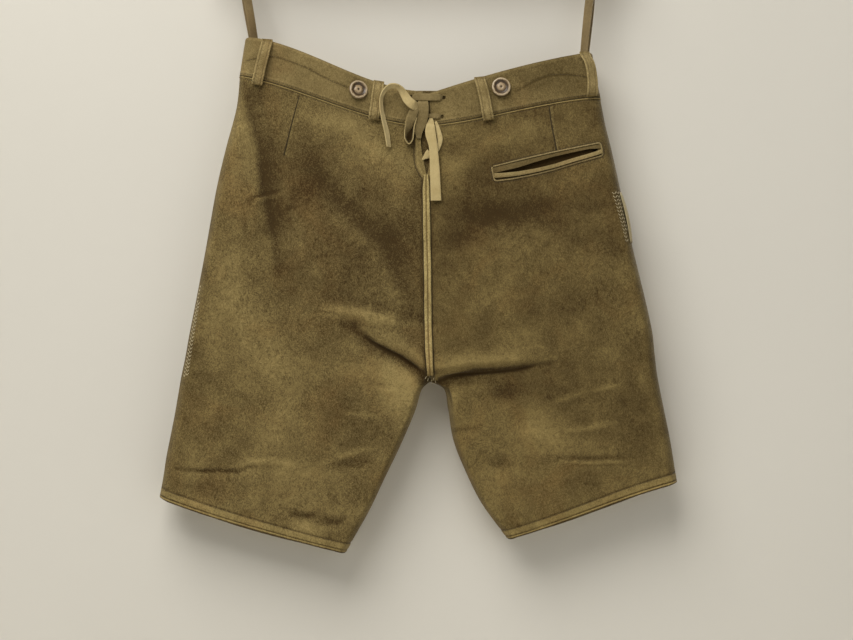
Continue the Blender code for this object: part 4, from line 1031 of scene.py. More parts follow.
LOOP_FINISH = leather("belt_loop_suede", (0.105, 0.070, 0.020), (0.400, 0.305, 0.130), mottle=0.6, bump=0.0005,
                      shade=edge_wear(1.2, LOOP_ROW))
for loop in BELT_LOOPS:
    steps = numpy.linspace(0, 1, 46)
    lifts = softened(numpy.interp(steps, *numpy.array(LOOP_BOW).T), (0.1, 0.22, 0.36, 0.22, 0.1))
    path, across = [], []
    for step, lift in zip(steps, lifts):
        x = loop.x_top + step * (loop.x_foot - loop.x_top) + loop.sway * math.sin(math.pi * step)
        z = loop.z_top + step * (loop.z_foot - loop.z_top)
        point, out = lie(loop.layer, x, z, reach=3.5)
        path.append(point + out * (LOOP_LIFT + LOOP_THICKNESS / 2 + lift * (loop.room - LOOP_LIFT)))
        across.append(numpy.cross(out, (0, 0, 1)))
    path, across = numpy.array(path), numpy.array(across)
    path[:, 1] = softened(path[:, 1], (0.15, 0.2, 0.3, 0.2, 0.15))
    section = numpy.array(LOOP_SECTION) * (1, -1) if loop.layer == "back" else LOOP_SECTION
    piece = strip_piece(f"{loop.name}_strap", path, across, LOOP_WIDTH, LOOP_THICKNESS, section)
    along = unit(numpy.gradient(path, axis=0))
    outwards = unit(numpy.cross(across, along))
    outwards *= numpy.sign(outwards[:, 1:2]) * SIGN[loop.layer]
    # The loop's ends are painted darker as shade, most at the foot where it turns under.
    set_tone(piece, numpy.repeat(-1.4 * groove(steps, 0.03) - 2.6 * groove(1 - steps, 0.025)
                                 + 0.3 * numpy.sin(steps * 9 + loop.x_top), len(LOOP_SECTION)))
    fitted(piece, "edging", LOOP_FINISH, loop.name)
    wide = square_to(along, across)
    rows = []
    for edge in (-LOOP_ROW, LOOP_ROW):
        line = path + wide * edge * LOOP_WIDTH / 2 + outwards * LOOP_THICKNESS * 0.32
        places, directions = along_path(line, 2.5)
        for place, direction in zip(places[1:-1], directions[1:-1]):
            rows.append((place, direction, outwards[numpy.argmin(numpy.linalg.norm(line - place, axis=1))]))
    for end in (2, -3):
        for t in numpy.linspace(-0.42, 0.42, 5):
            rows.append((path[end] + wide[end] * t * LOOP_WIDTH + outwards[end] * LOOP_THICKNESS * 0.5,
                         wide[end], outwards[end]))
    stitched(f"{loop.name}_stitches", rows, 1.9, 0.6, OLIVE_THREAD, "edging")


# ---- Horn buttons -------------------------------------------------------------------------
# Turned from horn: a pale raised rim, a sunk ring and a pale boss with a thread hole, the ring and the hole
# painted dark as shade. Four carry the braces and two close the drop front.

ButtonPlace = namedtuple("ButtonPlace", "name layer x z lift lean")
BUTTONS = (
    ButtonPlace("brace_button_left", "back", -74, -158, 0.9, (0.30, 0.20)),
    ButtonPlace("brace_button_right", "back", 96.6, -154.6, 0.7, (0.08, 0.10)),
    ButtonPlace("brace_button_front_left", "front", -104, -158, 0.7, (0.05, 0.08)),
    ButtonPlace("brace_button_front_right", "front", 104, -160, 0.7, (-0.08, 0.05)),
    ButtonPlace("flap_button_left", "front", -63, -184, 3.7, (0.04, 0.06)),
    ButtonPlace("flap_button_right", "front", 77, -184, 3.7, (-0.05, 0.07)),
)
BUTTON_RADIUS = 11.25
# From the rim inwards, each cut of the lathe: how far in, and how far up or down
BUTTON_CUTS = ((0.5, 0.55), (0.7, 0.3), (1.0, 0.05), (0.9, -0.45), (0.7, -0.85), (0.7, -0.35), (1.5, 0.0),
               (0.45, 0.45), (0.55, 0.6), (0.9, 0.3), (0.8, 0.05), (1.0, -0.2), (0.35, -0.75), (0.45, -0.6))
SHANK_CUTS = ((0.6, -0.35), (6.0, -0.1), (0.4, -1.3))


def turned_button():
    """A button cut from a disc of horn, first on its face and then on its back, with its shank."""
    button = blank("cylinder", vertices=48, radius=BUTTON_RADIUS * MM, depth=2.2 * MM,
                   location=(0, 0, 2.5 * MM), end_fill_type="NGON")
    bpy.ops.object.mode_set(mode="EDIT")
    bpy.ops.mesh.select_mode(type="FACE")
    for facing_up, cuts in ((1, BUTTON_CUTS), (-1, SHANK_CUTS)):
        bpy.ops.mesh.select_all(action="DESELECT")
        shape = bmesh.from_edit_mesh(button.data)
        for face in shape.faces:
            face.select = face.normal.z * facing_up > 0.9
        bmesh.update_edit_mesh(button.data)
        for inwards, upwards in cuts:
            bpy.ops.mesh.inset(thickness=inwards * MM)
            bpy.ops.transform.translate(value=(0, 0, upwards * MM))
    bpy.ops.object.mode_set(mode="OBJECT")
    button.modifiers.new("edges", "BEVEL").width = 0.12 * MM
    button.modifiers["edges"].segments = 2
    apply_modifiers(button)
    bpy.ops.object.transform_apply(location=True, rotation=True, scale=True)
    bpy.ops.object.shade_smooth_by_angle(angle=math.radians(60))
    radius = [math.hypot(vertex.co.x, vertex.co.y) / (BUTTON_RADIUS * MM) for vertex in button.data.vertices]
    set_tone(button, radius, "radius")
    return button


def horn():
    """Polished horn in rings: painted shade in the thread hole, a pale boss, painted shade in the sunk ring and
    a pale rim.
    """
    made, tree, shader = new_finish("polished_horn")
    cloud = node(tree, "ShaderNodeTexNoise", Vector=own_place(tree), Scale=170.0, Detail=4.0, Distortion=1.5)
    shifted = calc(tree, "MULTIPLY_ADD", calc(tree, "SUBTRACT", cloud, 0.5), 0.34, written(tree, "radius"))
    # Near black at the centre and in the sunk ring: painted shade in the hollows.
    rings = ((0.0, (0.03, 0.018, 0.008)), (0.08, (0.06, 0.036, 0.018)), (0.16, (0.36, 0.265, 0.155)),
             (0.44, (0.28, 0.195, 0.105)), (0.52, (0.045, 0.026, 0.010)), (0.70, (0.058, 0.034, 0.013)),
             (0.80, (0.20, 0.135, 0.070)), (0.90, (0.50, 0.395, 0.245)), (1.0, (0.22, 0.15, 0.080)))
    connect(tree, shader, {
        "Base Color": colour_ramp(tree, shifted, *rings),
        "Roughness": calc(tree, "MULTIPLY_ADD", cloud, 0.2, 0.22),
        "Normal": node(tree, "ShaderNodeBump", Height=cloud, Strength=0.3, Distance=0.0002)})
    return made


HORN = horn()
pattern_button = turned_button()
for place in BUTTONS:
    button = placed(f"{place.name}_horn", pattern_button.data.copy())
    point, out = lie(place.layer, place.x, place.z, reach=6)
    lean = out + numpy.array((place.lean[0], 0, place.lean[1]))
    turn = Vector(lean).to_track_quat("Z", "Y").to_matrix().to_4x4()
    button.data.transform(Matrix.Translation(Vector(point + out * (place.lift - 0.3)) * MM) @ turn)
    fitted(button, "horn", HORN, place.name)
bpy.data.objects.remove(pattern_button, do_unlink=True)


# ---- Back pocket --------------------------------------------------------------------------
# A slanted slot in the right seat between two welts of folded suede, framed by a thin corded
# edge and a row of stitches, with a pocket bag behind it.

POCKET_CORNER = (85.0, -250.0)
POCKET_LENGTH = 132.0
POCKET_SLOPE = math.radians(12.6)
BAG_DEPTH = 120.0
BAG_INSET = (4.0, 10.0)
BAG_CLOTH = 1.2


def pocket_place(along, down):
    """x and z of a place on the pocket, along its slope and square down from its upper edge."""
    return (POCKET_CORNER[0] + along * math.cos(POCKET_SLOPE) + down * math.sin(POCKET_SLOPE),
            POCKET_CORNER[1] + along * math.sin(POCKET_SLOPE) - down * math.cos(POCKET_SLOPE))


# Shares of its length, and how far down are the mouth's two edges and the lower welt's foot
POCKET_MOUTH = numpy.array((
    (0.00, 7.9, 8.1, 14.2), (0.06, 8.0, 10.0, 15.4), (0.22, 8.0, 12.9, 18.0), (0.39, 6.0, 14.0, 18.6),
    (0.55, 4.6, 13.6, 18.3), (0.72, 4.5, 11.6, 16.3), (0.88, 4.6, 10.4, 15.1), (0.975, 6.6, 9.2, 14.0),
    (1.00, 7.6, 8.0, 13.6)))
MOUTH_TOP, MOUTH_FOOT, WELT_FOOT = 1, 2, 3


def mouth_line(column, steps):
    """How far down one of the mouth's lines lies at each share of its length."""
    return numpy.interp(steps, POCKET_MOUTH[:, 0], POCKET_MOUTH[:, column])


steps = numpy.linspace(0.03, 0.97, 26)
rim = [pocket_place(POCKET_LENGTH * t, d) for t, d in zip(steps, mouth_line(MOUTH_TOP, steps) - 1.3)]
rim += [pocket_place(POCKET_LENGTH * t, d)
        for t, d in zip(steps[::-1], mouth_line(MOUTH_FOOT, steps[::-1]) + 1.8)]
knife = blank("circle", vertices=len(rim), radius=1, fill_type="NGON", location=(0, 0, 0))
for vertex, (x, z) in zip(knife.data.vertices, rim):
    vertex.co = (x * MM, -36 * MM, z * MM)
deep = knife.modifiers.new("deep", "SOLIDIFY")
deep.thickness, deep.offset = 66 * MM, 0
apply_modifiers(knife)
cut_away(panels["right", "back"], knife)

# The mouth gapes in its middle, where the lower welt stands out as a roll. The lower welt is a paler, lit copy
# of the suede as a painted highlight, and the upper lip a darker, shaded copy as painted shade.
WELT_SECTION = ((-1, -1), (-1, 0.2), (-0.9, 0.8), (-0.62, 1.05), (-0.2, 1.1), (0.3, 1.0), (0.7, 0.75),
                (0.92, 0.3), (1, -0.3), (1, -1), (0.4, -1), (-0.4, -1))
ROLL_SECTION = ((-1, -0.7), (-0.98, 0.1), (-0.82, 0.62), (-0.5, 0.95), (-0.1, 1.0), (0.3, 0.8), (0.65, 0.45),
                (0.9, 0.05), (1, -0.6), (0.8, -1), (0.2, -1), (-0.6, -1))
LIT_WELT_FINISH = leather("pocket_welt_lit_suede", (0.130, 0.090, 0.028), (0.430, 0.335, 0.150), mottle=0.6, nap=0.7)
SHADED_LIP_FINISH = leather("pocket_lip_shaded_suede", (0.060, 0.040, 0.011), (0.230, 0.165, 0.062), mottle=0.6, nap=0.7)


WELT_STEPS = numpy.linspace(0.004, 0.996, 64)


def pocket_strip(name, upper, lower, lift, thickness, finish, node_name, section):
    """A welt between two lines along the pocket, set off the cloth by its lift."""
    path, across = [], []
    for step, top, foot in zip(WELT_STEPS, upper, lower):
        x, z = pocket_place(POCKET_LENGTH * step, (top + foot) / 2)
        point, out = lie("back", x, z, reach=4)
        path.append(point + out * (lift * (0.25 + 0.75 * math.sin(math.pi * step)) + thickness / 2))
        across.append((math.sin(POCKET_SLOPE), 0, -math.cos(POCKET_SLOPE)))
    piece = strip_piece(name, evened(numpy.array(path), 4), across, lower - upper, thickness, section)
    set_tone(piece, numpy.repeat(0.35 * numpy.sin(WELT_STEPS * 7 + 1) - groove(WELT_STEPS, 0.02), len(section)))
    return fitted(piece, "edging", finish, node_name)


pocket_strip("pocket_lip_upper", 2.0 - numpy.sin(math.pi * WELT_STEPS), mouth_line(MOUTH_TOP, WELT_STEPS),
             0.35, 1.3, SHADED_LIP_FINISH, "pocket_welt_upper", WELT_SECTION)
pocket_strip("pocket_lip_lower", mouth_line(MOUTH_FOOT, WELT_STEPS), mouth_line(WELT_FOOT, WELT_STEPS),
             0.9, 2.9, LIT_WELT_FINISH, "pocket_welt_lower", ROLL_SECTION)

CORD_SECTION = tuple((math.cos(a), math.sin(a)) for a in numpy.linspace(0, 2 * math.pi, 9)[:-1])
# The frame's course round the pocket: down its left end, along its foot, up its right end and back
frame_line = [(1.6, 0.2), (0.3, 1.4), (0.0, 4.0), (0.0, 9.0), (0.0, 13.6), (0.5, 16.6), (2.6, 17.9)]
frame_line += [(POCKET_LENGTH * t, d) for t, d in (
    (0.08, 18.7), (0.15, 19.5), (0.22, 19.9), (0.31, 20.2), (0.39, 20.2), (0.47, 20.0), (0.55, 19.6),
    (0.64, 18.7), (0.72, 17.9), (0.80, 17.2), (0.88, 16.7), (0.94, 16.3))]
frame_line += [(POCKET_LENGTH + a, d) for a, d in (
    (-2.4, 16.0), (-0.2, 14.6), (0.3, 11.5), (0.4, 7), (0.2, 2.6), (-0.4, 1.0), (-2.4, 0.2))]
frame_line += [(POCKET_LENGTH * t, 0.3 - 1.1 * math.sin(math.pi * t)) for t in numpy.linspace(0.93, 0.07, 10)]
frame_line += [(1.6, 0.2)]
frame_places, frame_directions = along_path([pocket_place(a, d) for a, d in frame_line], 1.5)


def frame_row(aside):
    """Places along the frame, set outwards by a distance."""
    row = []
    for (x, z), (run, rise) in zip(frame_places, frame_directions):
        point, out = lie("back", x + rise * aside, z - run * aside, reach=3)
        row.append((point, numpy.array((run, 0, rise)), out))
    return row


cording = strip_piece("pocket_cording", [point + out * 0.5 for point, _, out in frame_row(0)],
                      [numpy.cross(out, along) for _, along, out in frame_row(0)], 2.0, 1.7, CORD_SECTION)
set_tone(cording, 0.3)
CORD_FINISH = leather("corded_edge_suede", (0.110, 0.078, 0.027), (0.39, 0.300, 0.135), mottle=0.5, bump=0.0004)
fitted(cording, "edging", CORD_FINISH)
# Two dark strips of painted shadow: in the fold inside the cording and along its outer side.
laid_line("pocket_seam_shadow", frame_row(-1.7), 1.3, 0.25, -0.3, SEAM_SHADOW_FINISH, "edging")
laid_line("pocket_outer_seam_shadow", frame_row(1.5), 0.9, 0.2, 0.6, SEAM_SHADOW_FINISH, "edging")
stitched("pocket_stitches", frame_row(2.6)[::2], 1.9, 0.65, BROWN_THREAD)

steps_across, steps_down = 40, 26
outer, inner = numpy.empty((2, steps_down + 1, steps_across + 1, 3))
for i, k in numpy.ndindex(outer.shape[:2]):
    a, b = k / steps_across, i / steps_down
    x, z = pocket_place(BAG_INSET[0] + (POCKET_LENGTH - sum(BAG_INSET)) * a, 1 + BAG_DEPTH * b)
    point, out = lie("back", x, z, reach=6)
    sag = 0.9 + 2.4 * math.sin(math.pi * a) * math.sin(math.pi * (0.15 + 0.85 * b))
    outer[i, k] = point - out * (SUEDE + 0.35 + sag)
    inner[i, k] = point - out * (SUEDE + 0.35 + sag + BAG_CLOTH)
bag, _ = cloth_shell("pocket_bag_cloth", outer, inner, 0.2)
# The bag is painted near black as the shade inside the pocket's mouth.
set_tone(bag, -4.2)
fitted(bag, "suede", SUEDE_FINISH, "pocket_bag")


# ---- Darts --------------------------------------------------------------------------------
# A short dart runs down from the waist on each side: the suede is folded under and sewn, so
# one edge lies over the other as a thin lip.

LIP_SECTION = ((-1, -1), (-1, 0.7), (-0.9, 1), (-0.5, 0.8), (0, 0.35), (0.5, -0.1), (1, -0.75), (1, -1),
               (0, -1))
DARTS = (
    ("dart_left", ((-143, -164), (-151.7, -197), (-157.4, -220), (-161.5, -237))),
    ("dart_right", ((154.4, -177), (156.8, -197), (159.9, -215), (162.6, -231))),
)
for name, line in DARTS:
    places, directions = along_path(line, 1.5)
    path, across, reach = [], [], numpy.linspace(0, 1, len(places))
    for (x, z), (run, rise), t in zip(places, directions, reach):
        point, out = lie("back", x + 2.1, z, reach=3)
        path.append(point + out * (0.10 + 0.35 * (1 - t)))
        across.append(numpy.cross(out, (run, 0, rise)))
    lip = strip_piece(name, path, across, 3.8 - 1.2 * reach, 1.4 - 0.6 * reach, LIP_SECTION)
    # The lip is painted a little lighter as a highlight.
    set_tone(lip, 0.35)
    fitted(lip, "suede", SUEDE_FINISH)
    # A dark strip of painted shadow runs beside each lip.
    foot = [(x - 0.4, z) for x, z in line]
    laid_line(f"{name}_seam", row_on_cloth("back", foot, 1.6), 1.9, 0.7, -0.3, SEAM_SHADOW_FINISH)


# ---- Centre back --------------------------------------------------------------------------
# A pale doubled strip covers the seat seam, with a channel sewn down its middle. Above it the
# slit is bound, and a wedge of suede fills it behind the lacing.

WELT_WIDTH = 8.4
DOUBLE_SECTION = ((-1, -1), (-1, 0), (-0.95, 0.55), (-0.8, 0.95), (-0.58, 1.1), (-0.36, 0.98), (-0.2, 0.5),
                  (0, 0.1), (0.2, 0.5), (0.36, 0.98), (0.58, 1.1), (0.8, 0.95), (0.95, 0.55), (1, 0),
                  (1, -1), (0, -1))
seam_line = ((7.6, -258), (7.4, -280), (8.2, -330), (9.2, -380), (9.6, -430), (10.4, -462), (11.4, -482),
             (12.4, -497))


def sewn_channel(tree, far):
    """Shading for a strip that is darker down its middle."""
    return calc(tree, "MULTIPLY", calc(tree, "MINIMUM", calc(tree, "SUBTRACT", far, 0.32), 0.0), 9.0)


STRIP_FINISH = leather("centre_strip_suede", (0.150, 0.103, 0.034), (0.68, 0.54, 0.225), mottle=0.55,
                       bump=0.0005, shade=sewn_channel)
places, directions = along_path(seam_line, 2.0)
path, across = [], []
for (x, z), (run, rise) in zip(places, directions):
    beside = min(touch("back", x - 6, z)[1], touch("back", x + 6, z)[1], touch("back", x - 2, z)[1])
    slope = touch("back", x - 6, z + 3) - touch("back", x - 6, z - 3)
    out = unit(numpy.array((0.0, -slope[2], slope[1])))
    path.append(numpy.array((x, beside, z)) + out * 1.35)
    across.append((1, 0, 0.05 * math.sin(z / 9)))
share = numpy.linspace(0, 1, len(path))
wide = (WELT_WIDTH * (1 - 0.42 * groove(share, 0.05) - 0.12 * groove(share - 1, 0.08))
        + 0.3 * numpy.sin(share * 31))
centre_strip = strip_piece("centre_back_strip", evened(numpy.array(path), 6), across, wide, 2.0, DOUBLE_SECTION)
set_tone(centre_strip, numpy.repeat(0.25 * numpy.sin(share * 17) - 1.5 * groove(share - 1, 0.03),
                                    len(DOUBLE_SECTION)))
fitted(centre_strip, "edging", STRIP_FINISH, "centre_back_welt")

# Dark strips of painted shadow along both sides of the centre strip.
for name, aside in (("welt_seam_left", -5.0), ("welt_seam_right", 5.0)):
    laid_line(name, row_on_cloth("back", [(x + aside, z) for x, z in seam_line], 2.0),
              1.3, 0.3, 0.0, SEAM_SHADOW_FINISH)

GUSSET_TOP, GUSSET_FOOT = -158.5, -270.0
outer = []
for t in numpy.arange(41) / 40:
    z = GUSSET_TOP + t * (GUSSET_FOOT - GUSSET_TOP)
    half = 27.0 - 22.0 * min(1, max(0, (t - 0.3) / 0.16))
    y = touch("back", -6, z)[1] + SUEDE + 0.4
    outer.append([(6.5 + 2 * t + a * half, y + 0.5 * math.sin(a * 5 + z / 8), z)
                  for a in numpy.linspace(-1, 1, 17)])
outer = numpy.array(outer)
evened(outer[..., 1], 3)
gusset, _ = cloth_shell("gusset_cloth", outer, outer + (0, 1.4, 0), 0.2)
# The gusset is painted darker as the shade behind the slit.
set_tone(gusset, -1.2)
fitted(gusset, "suede", SUEDE_FINISH, "back_gusset")

for name, line in (("slit_stitches_left", ((-5.8, -207), (-5.8, -238), (-3.2, -252), (3.5, -262))),
                   ("slit_stitches_right", ((20.4, -207), (20.6, -236), (17.4, -252), (12.0, -262)))):
    stitched(name, row_on_cloth("back", line, sunk=0.1), 1.9, 0.6, OLIVE_THREAD)
# Each with its path, how wide and how high it is, its tone and its finish
# The two seams are dark strips of painted shadow beside the slit's bindings.
SLIT_SEAMS = (
    ("seam_left", ((-7.0, -203), (-7.0, -238), (-4.6, -252), (1.6, -264)), 1.2, 0.25, 0.5, SEAM_SHADOW_FINISH),
    ("seam_right", ((21.6, -203), (21.8, -236), (18.6, -252), (13.4, -264)), 1.0, 0.25, 0.9, SEAM_SHADOW_FINISH),
    ("binding_left", ((-3.6, -203), (-3.4, -236), (-1.4, -250), (4.4, -262)), 4.0, 0.9, 1.7, SUEDE_FINISH),
    ("binding_right", ((18.4, -203), (18.4, -234), (15.6, -250), (10.8, -262)), 4.0, 0.9, 1.7, SUEDE_FINISH),
)
for name, line, *look in SLIT_SEAMS:
    laid_line(f"slit_{name}", row_on_cloth("back", line, 1.6), *look)

# The four seams of the crotch are held by a few hand stitches.
tack = []
for x, z, slope in ((7, -500.5, 60), (9.5, -503, 75), (12, -500, 100), (14.2, -504, 82), (16.6, -501, 64),
                    (18.4, -505, 102), (11.4, -506.5, 88), (15.4, -507, 72)):
    angle = math.radians(slope)
    tack.append((touch("back", x, z) - (0, 0.6, 0), numpy.array((math.cos(angle), 0, math.sin(angle))),
                 numpy.array((0, -1.0, 0))))
stitched("crotch_tack", tack, 4.4, 0.9, PALE_THREAD)


# ---- Knife pocket -------------------------------------------------------------------------
# A narrow pocket for a knife at the right side seam. Its leaf wraps the seam and has a pale
# binding at the back edge, which stands open, and at the mouth.

KNIFE_TOP, KNIFE_FOOT = -280.0, -340.0
KNIFE_LIFT, KNIFE_MOUTH = 0.35, 1.4


def row_at(side, layer, z, count):
    """How many rows down the leg a height lies at the side seam."""
    rows = numpy.linspace(0, len(LEG_ROWS[side]) - 1, count)
    return numpy.interp(-z, -leg_height(side, layer, numpy.zeros(count), rows), rows)


def side_row(layer, z, reaches):
    """Places round the right side seam at a height, by their distance in x from the seam."""
    v = row_at("right", layer, z, 400)
    row = leg_section("right", v)
    return leg_surface("right", layer, abs(reaches) / (row[0] - row[1]), numpy.full(len(reaches), v)), row


reaches = numpy.concatenate((-4.2 * numpy.linspace(1, 0.02, 12) ** 1.6, 26 * numpy.linspace(0, 1, 22) ** 1.6))
outer, count = [], 27
for z in numpy.linspace(KNIFE_TOP, KNIFE_FOOT, count):
    t = (KNIFE_TOP - z) / (KNIFE_TOP - KNIFE_FOOT)
    open_by = KNIFE_LIFT + KNIFE_MOUTH * math.sin(math.pi * t)
    line = []
    for layer, some in (("back", reaches[reaches < 0]), ("front", reaches[reaches >= 0])):
        points, row = side_row(layer, z, some)
        points[:, 2] = z
        away = (points - (row[0] - SIDE_ROUND, 0, z)) / (SIDE_ROUND ** 2, row[6] ** 2, 1)
        line.append(points + unit(away) * open_by)
    outer.append(numpy.concatenate(line))
outer = numpy.array(outer)
away = facing(outer, 1)
away *= numpy.sign(away[:, :, :1])
thick = 0.5 + 1.4 * numpy.sqrt(numpy.sin(numpy.linspace(0, math.pi, count)))[:, None, None]
leaf, ring = cloth_shell("knife_pocket_leaf", outer + away * thick, outer, 0.2)
height = numpy.broadcast_to(numpy.linspace(0, 1, count)[:, None], outer.shape[:2])
bound_edge = numpy.where(reaches < 1.0, 1.0, -1.4)[None, :]
tone = numpy.minimum(bound_edge + 2.6 * groove(height, 0.09), 1.1) - 0.8 * groove(height - 1, 0.05)
set_sheet_tone(leaf, tone, ring, 0)
LEAF_FINISH = leather("knife_pocket_suede", (0.062, 0.040, 0.010), (0.58, 0.48, 0.27), mottle=0.6, nap=0.5)
fitted(leaf, "suede", LEAF_FINISH, "knife_pocket")


# ---- Drop front ---------------------------------------------------------------------------
# The front opens with a flap that hangs from two buttons below the waistband. Its edge is sewn
# with two rows.

FLAP_MIDDLE, FLAP_TOP, FLAP_HEIGHT, FLAP_LIFT, FLAP_CLOTH = 7.0, -172.0, 185.0, 1.1, 2.0
FLAP_ROWS = (4.0, 7.5)


def flap_place(t, a):
    """Half the flap's width a share t down, and x and z of a place there, with a from -1 to 1 across."""
    half = 84.0 - 14.0 * t
    return half, FLAP_MIDDLE + a * half, FLAP_TOP + 6 * a * a - t * FLAP_HEIGHT


outer, tone = numpy.empty((78, 72, 3)), numpy.empty((78, 72))
for i, k in numpy.ndindex(tone.shape):
    t, a = i / 77, 2 * k / 71 - 1
    half, x, z = flap_place(t, a)
    edge = min(half - abs(a) * half, t * FLAP_HEIGHT, (1 - t) * FLAP_HEIGHT)
    sunk = 0.5 * groove(edge - FLAP_ROWS[0], 1.3) + 0.3 * groove(edge - FLAP_ROWS[1], 1.3)
    outer[i, k] = touch("front", x, z) + (0, FLAP_LIFT + FLAP_CLOTH - sunk, 0)
    tone[i, k] = (0.4 * groove(edge, 3) - 1.2 * groove(edge - FLAP_ROWS[0], 1.0)
                  + 0.3 * math.sin(x / 23) * math.sin(z / 31))
evened(outer[:, 1:-1, 1], 2)
flap, ring = cloth_shell("drop_front", outer, outer - (0, FLAP_CLOTH, 0), 0.3)
set_sheet_tone(flap, tone, ring, 0.3)
fitted(flap, "suede", SUEDE_FINISH, "front_flap")
flap_tree = tree_of([outer])
flap_rows = []
for inset in FLAP_ROWS:
    corners = []
    for t, a in ((0.0, -1), (1.0, -1), (1.0, 1), (0.0, 1), (0.0, 0)):
        half, x, z = flap_place(t, a)
        corners.append((x - a * inset, z + (inset if t else -inset)))
    for start, end in zip(corners, corners[1:] + corners[:1]):
        places, directions = along_path([start, end], 2.7)
        for (x, z), (run, rise) in zip(places, directions):
            hit, out = flap_tree.ray_cast(Vector((x, RAY_START, z)), Vector((0, -1, 0)))[:2]
            if hit is not None:
                outwards = numpy.array(out) * math.copysign(1, out.y)
                flap_rows.append((numpy.array(hit), numpy.array((run, 0, rise)), outwards))
stitched("drop_front_stitches", flap_rows, 2.0, 0.65, BROWN_THREAD)


# ---- Side seams ---------------------------------------------------------------------------
# Rows of V stitches in pale thread beside each side seam, worked by hand through the suede.

def beside_seam(side, layer, z, distance):
    """A place a distance round from the side seam, with the directions down the leg and outwards."""
    v = row_at(side, layer, z, 500)
    row = leg_section(side, v)
    round_part = min(SIDE_ROUND, row[6] + 2) * (1 - numpy.cos(numpy.linspace(0, 1.5, 60)))
    u = numpy.concatenate((round_part, round_part[-1] + numpy.linspace(1, 20, 20)))
    u = u / abs(row[0] - centre_edge(side, layer, v, row[1]))
    line = leg_surface(side, layer, u, numpy.full(len(u), v))
    walked = lengths_along(line)
    point, ahead = (at_length(distance + further, walked, line) for further in (0, 1.5))
    across = unit(ahead - point)
    hit, out = cloth_trees[layer].find_nearest(Vector(point))[:2]
    point, out = numpy.array(hit), numpy.array(out)
    out *= math.copysign(1, numpy.dot(out, (SIGN[side] * 0.4, SIGN[layer], 0)))
    down = numpy.cross(out, across)
    return point, across, unit(down) * -math.copysign(1, down[2]), out


# Side, layer, distance round from the seam, top and foot of a row, and the stitch's reach
VRow = namedtuple("VRow", "side layer from_seam top foot reach")
V_ROWS = (
    VRow("left", "back", 28.6, -392, -498, 2.4), VRow("left", "back", 33.8, -412, -498, 2.4),
    VRow("left", "front", 28.6, -392, -498, 2.4), VRow("left", "front", 33.8, -412, -498, 2.4),
    VRow("right", "back", 28.2, -280, -326, 3.0), VRow("right", "back", 34.6, -280, -341, 3.0),
)
for side in SIDES:
    legs = []
    for row in (row for row in V_ROWS if row.side == side):
        for z in numpy.arange(row.top, row.foot, -4.4):
            point, across, down, out = beside_seam(side, row.layer, z, row.from_seam)
            for lean in (-1, 1):
                slant = unit(across * lean + down * -1.1)
                legs.append((point + across * lean * row.reach * 0.5 + out * 0.25, slant, out))
    stitched(f"v_stitches_{side}", legs, 4.2, 0.65, PALE_THREAD, high=0.7)


# ---- Lacing -------------------------------------------------------------------------------
# A thong of the same hide, olive on its grain side and cream on its flesh side, runs through
# two pairs of eyelets, is knotted and falls in a bow: one drop, one open loop, a small loop and
# two free tails.

THONG = 1.6
GRAIN_SIDE = leather("thong_grain", (0.100, 0.070, 0.024), (0.300, 0.225, 0.096), mottle=0.7, nap=0.6,
                     bump=0.0004, shade=edge_wear(0.9))
FLESH_SIDE = leather("thong_flesh", (0.360, 0.270, 0.112), (0.560, 0.450, 0.225), mottle=0.5, nap=0.5,
                     bump=0.0005)
SPLIT_SIDE = leather("thong_split", (0.240, 0.175, 0.066), (0.430, 0.335, 0.150), mottle=0.5, nap=0.5,
                     bump=0.0005)
# A strip cupped towards its outer face
CUPPED_SECTION = ((-1, -0.55), (-0.9, -0.95), (-0.5, -1.1), (0, -1.2), (0.5, -1.1), (0.9, -0.95), (1, -0.55),
                  (1, 0.45), (0.92, 0.95), (0.5, 0.72), (0, 0.6), (-0.5, 0.72), (-0.92, 0.95), (-1, 0.45))

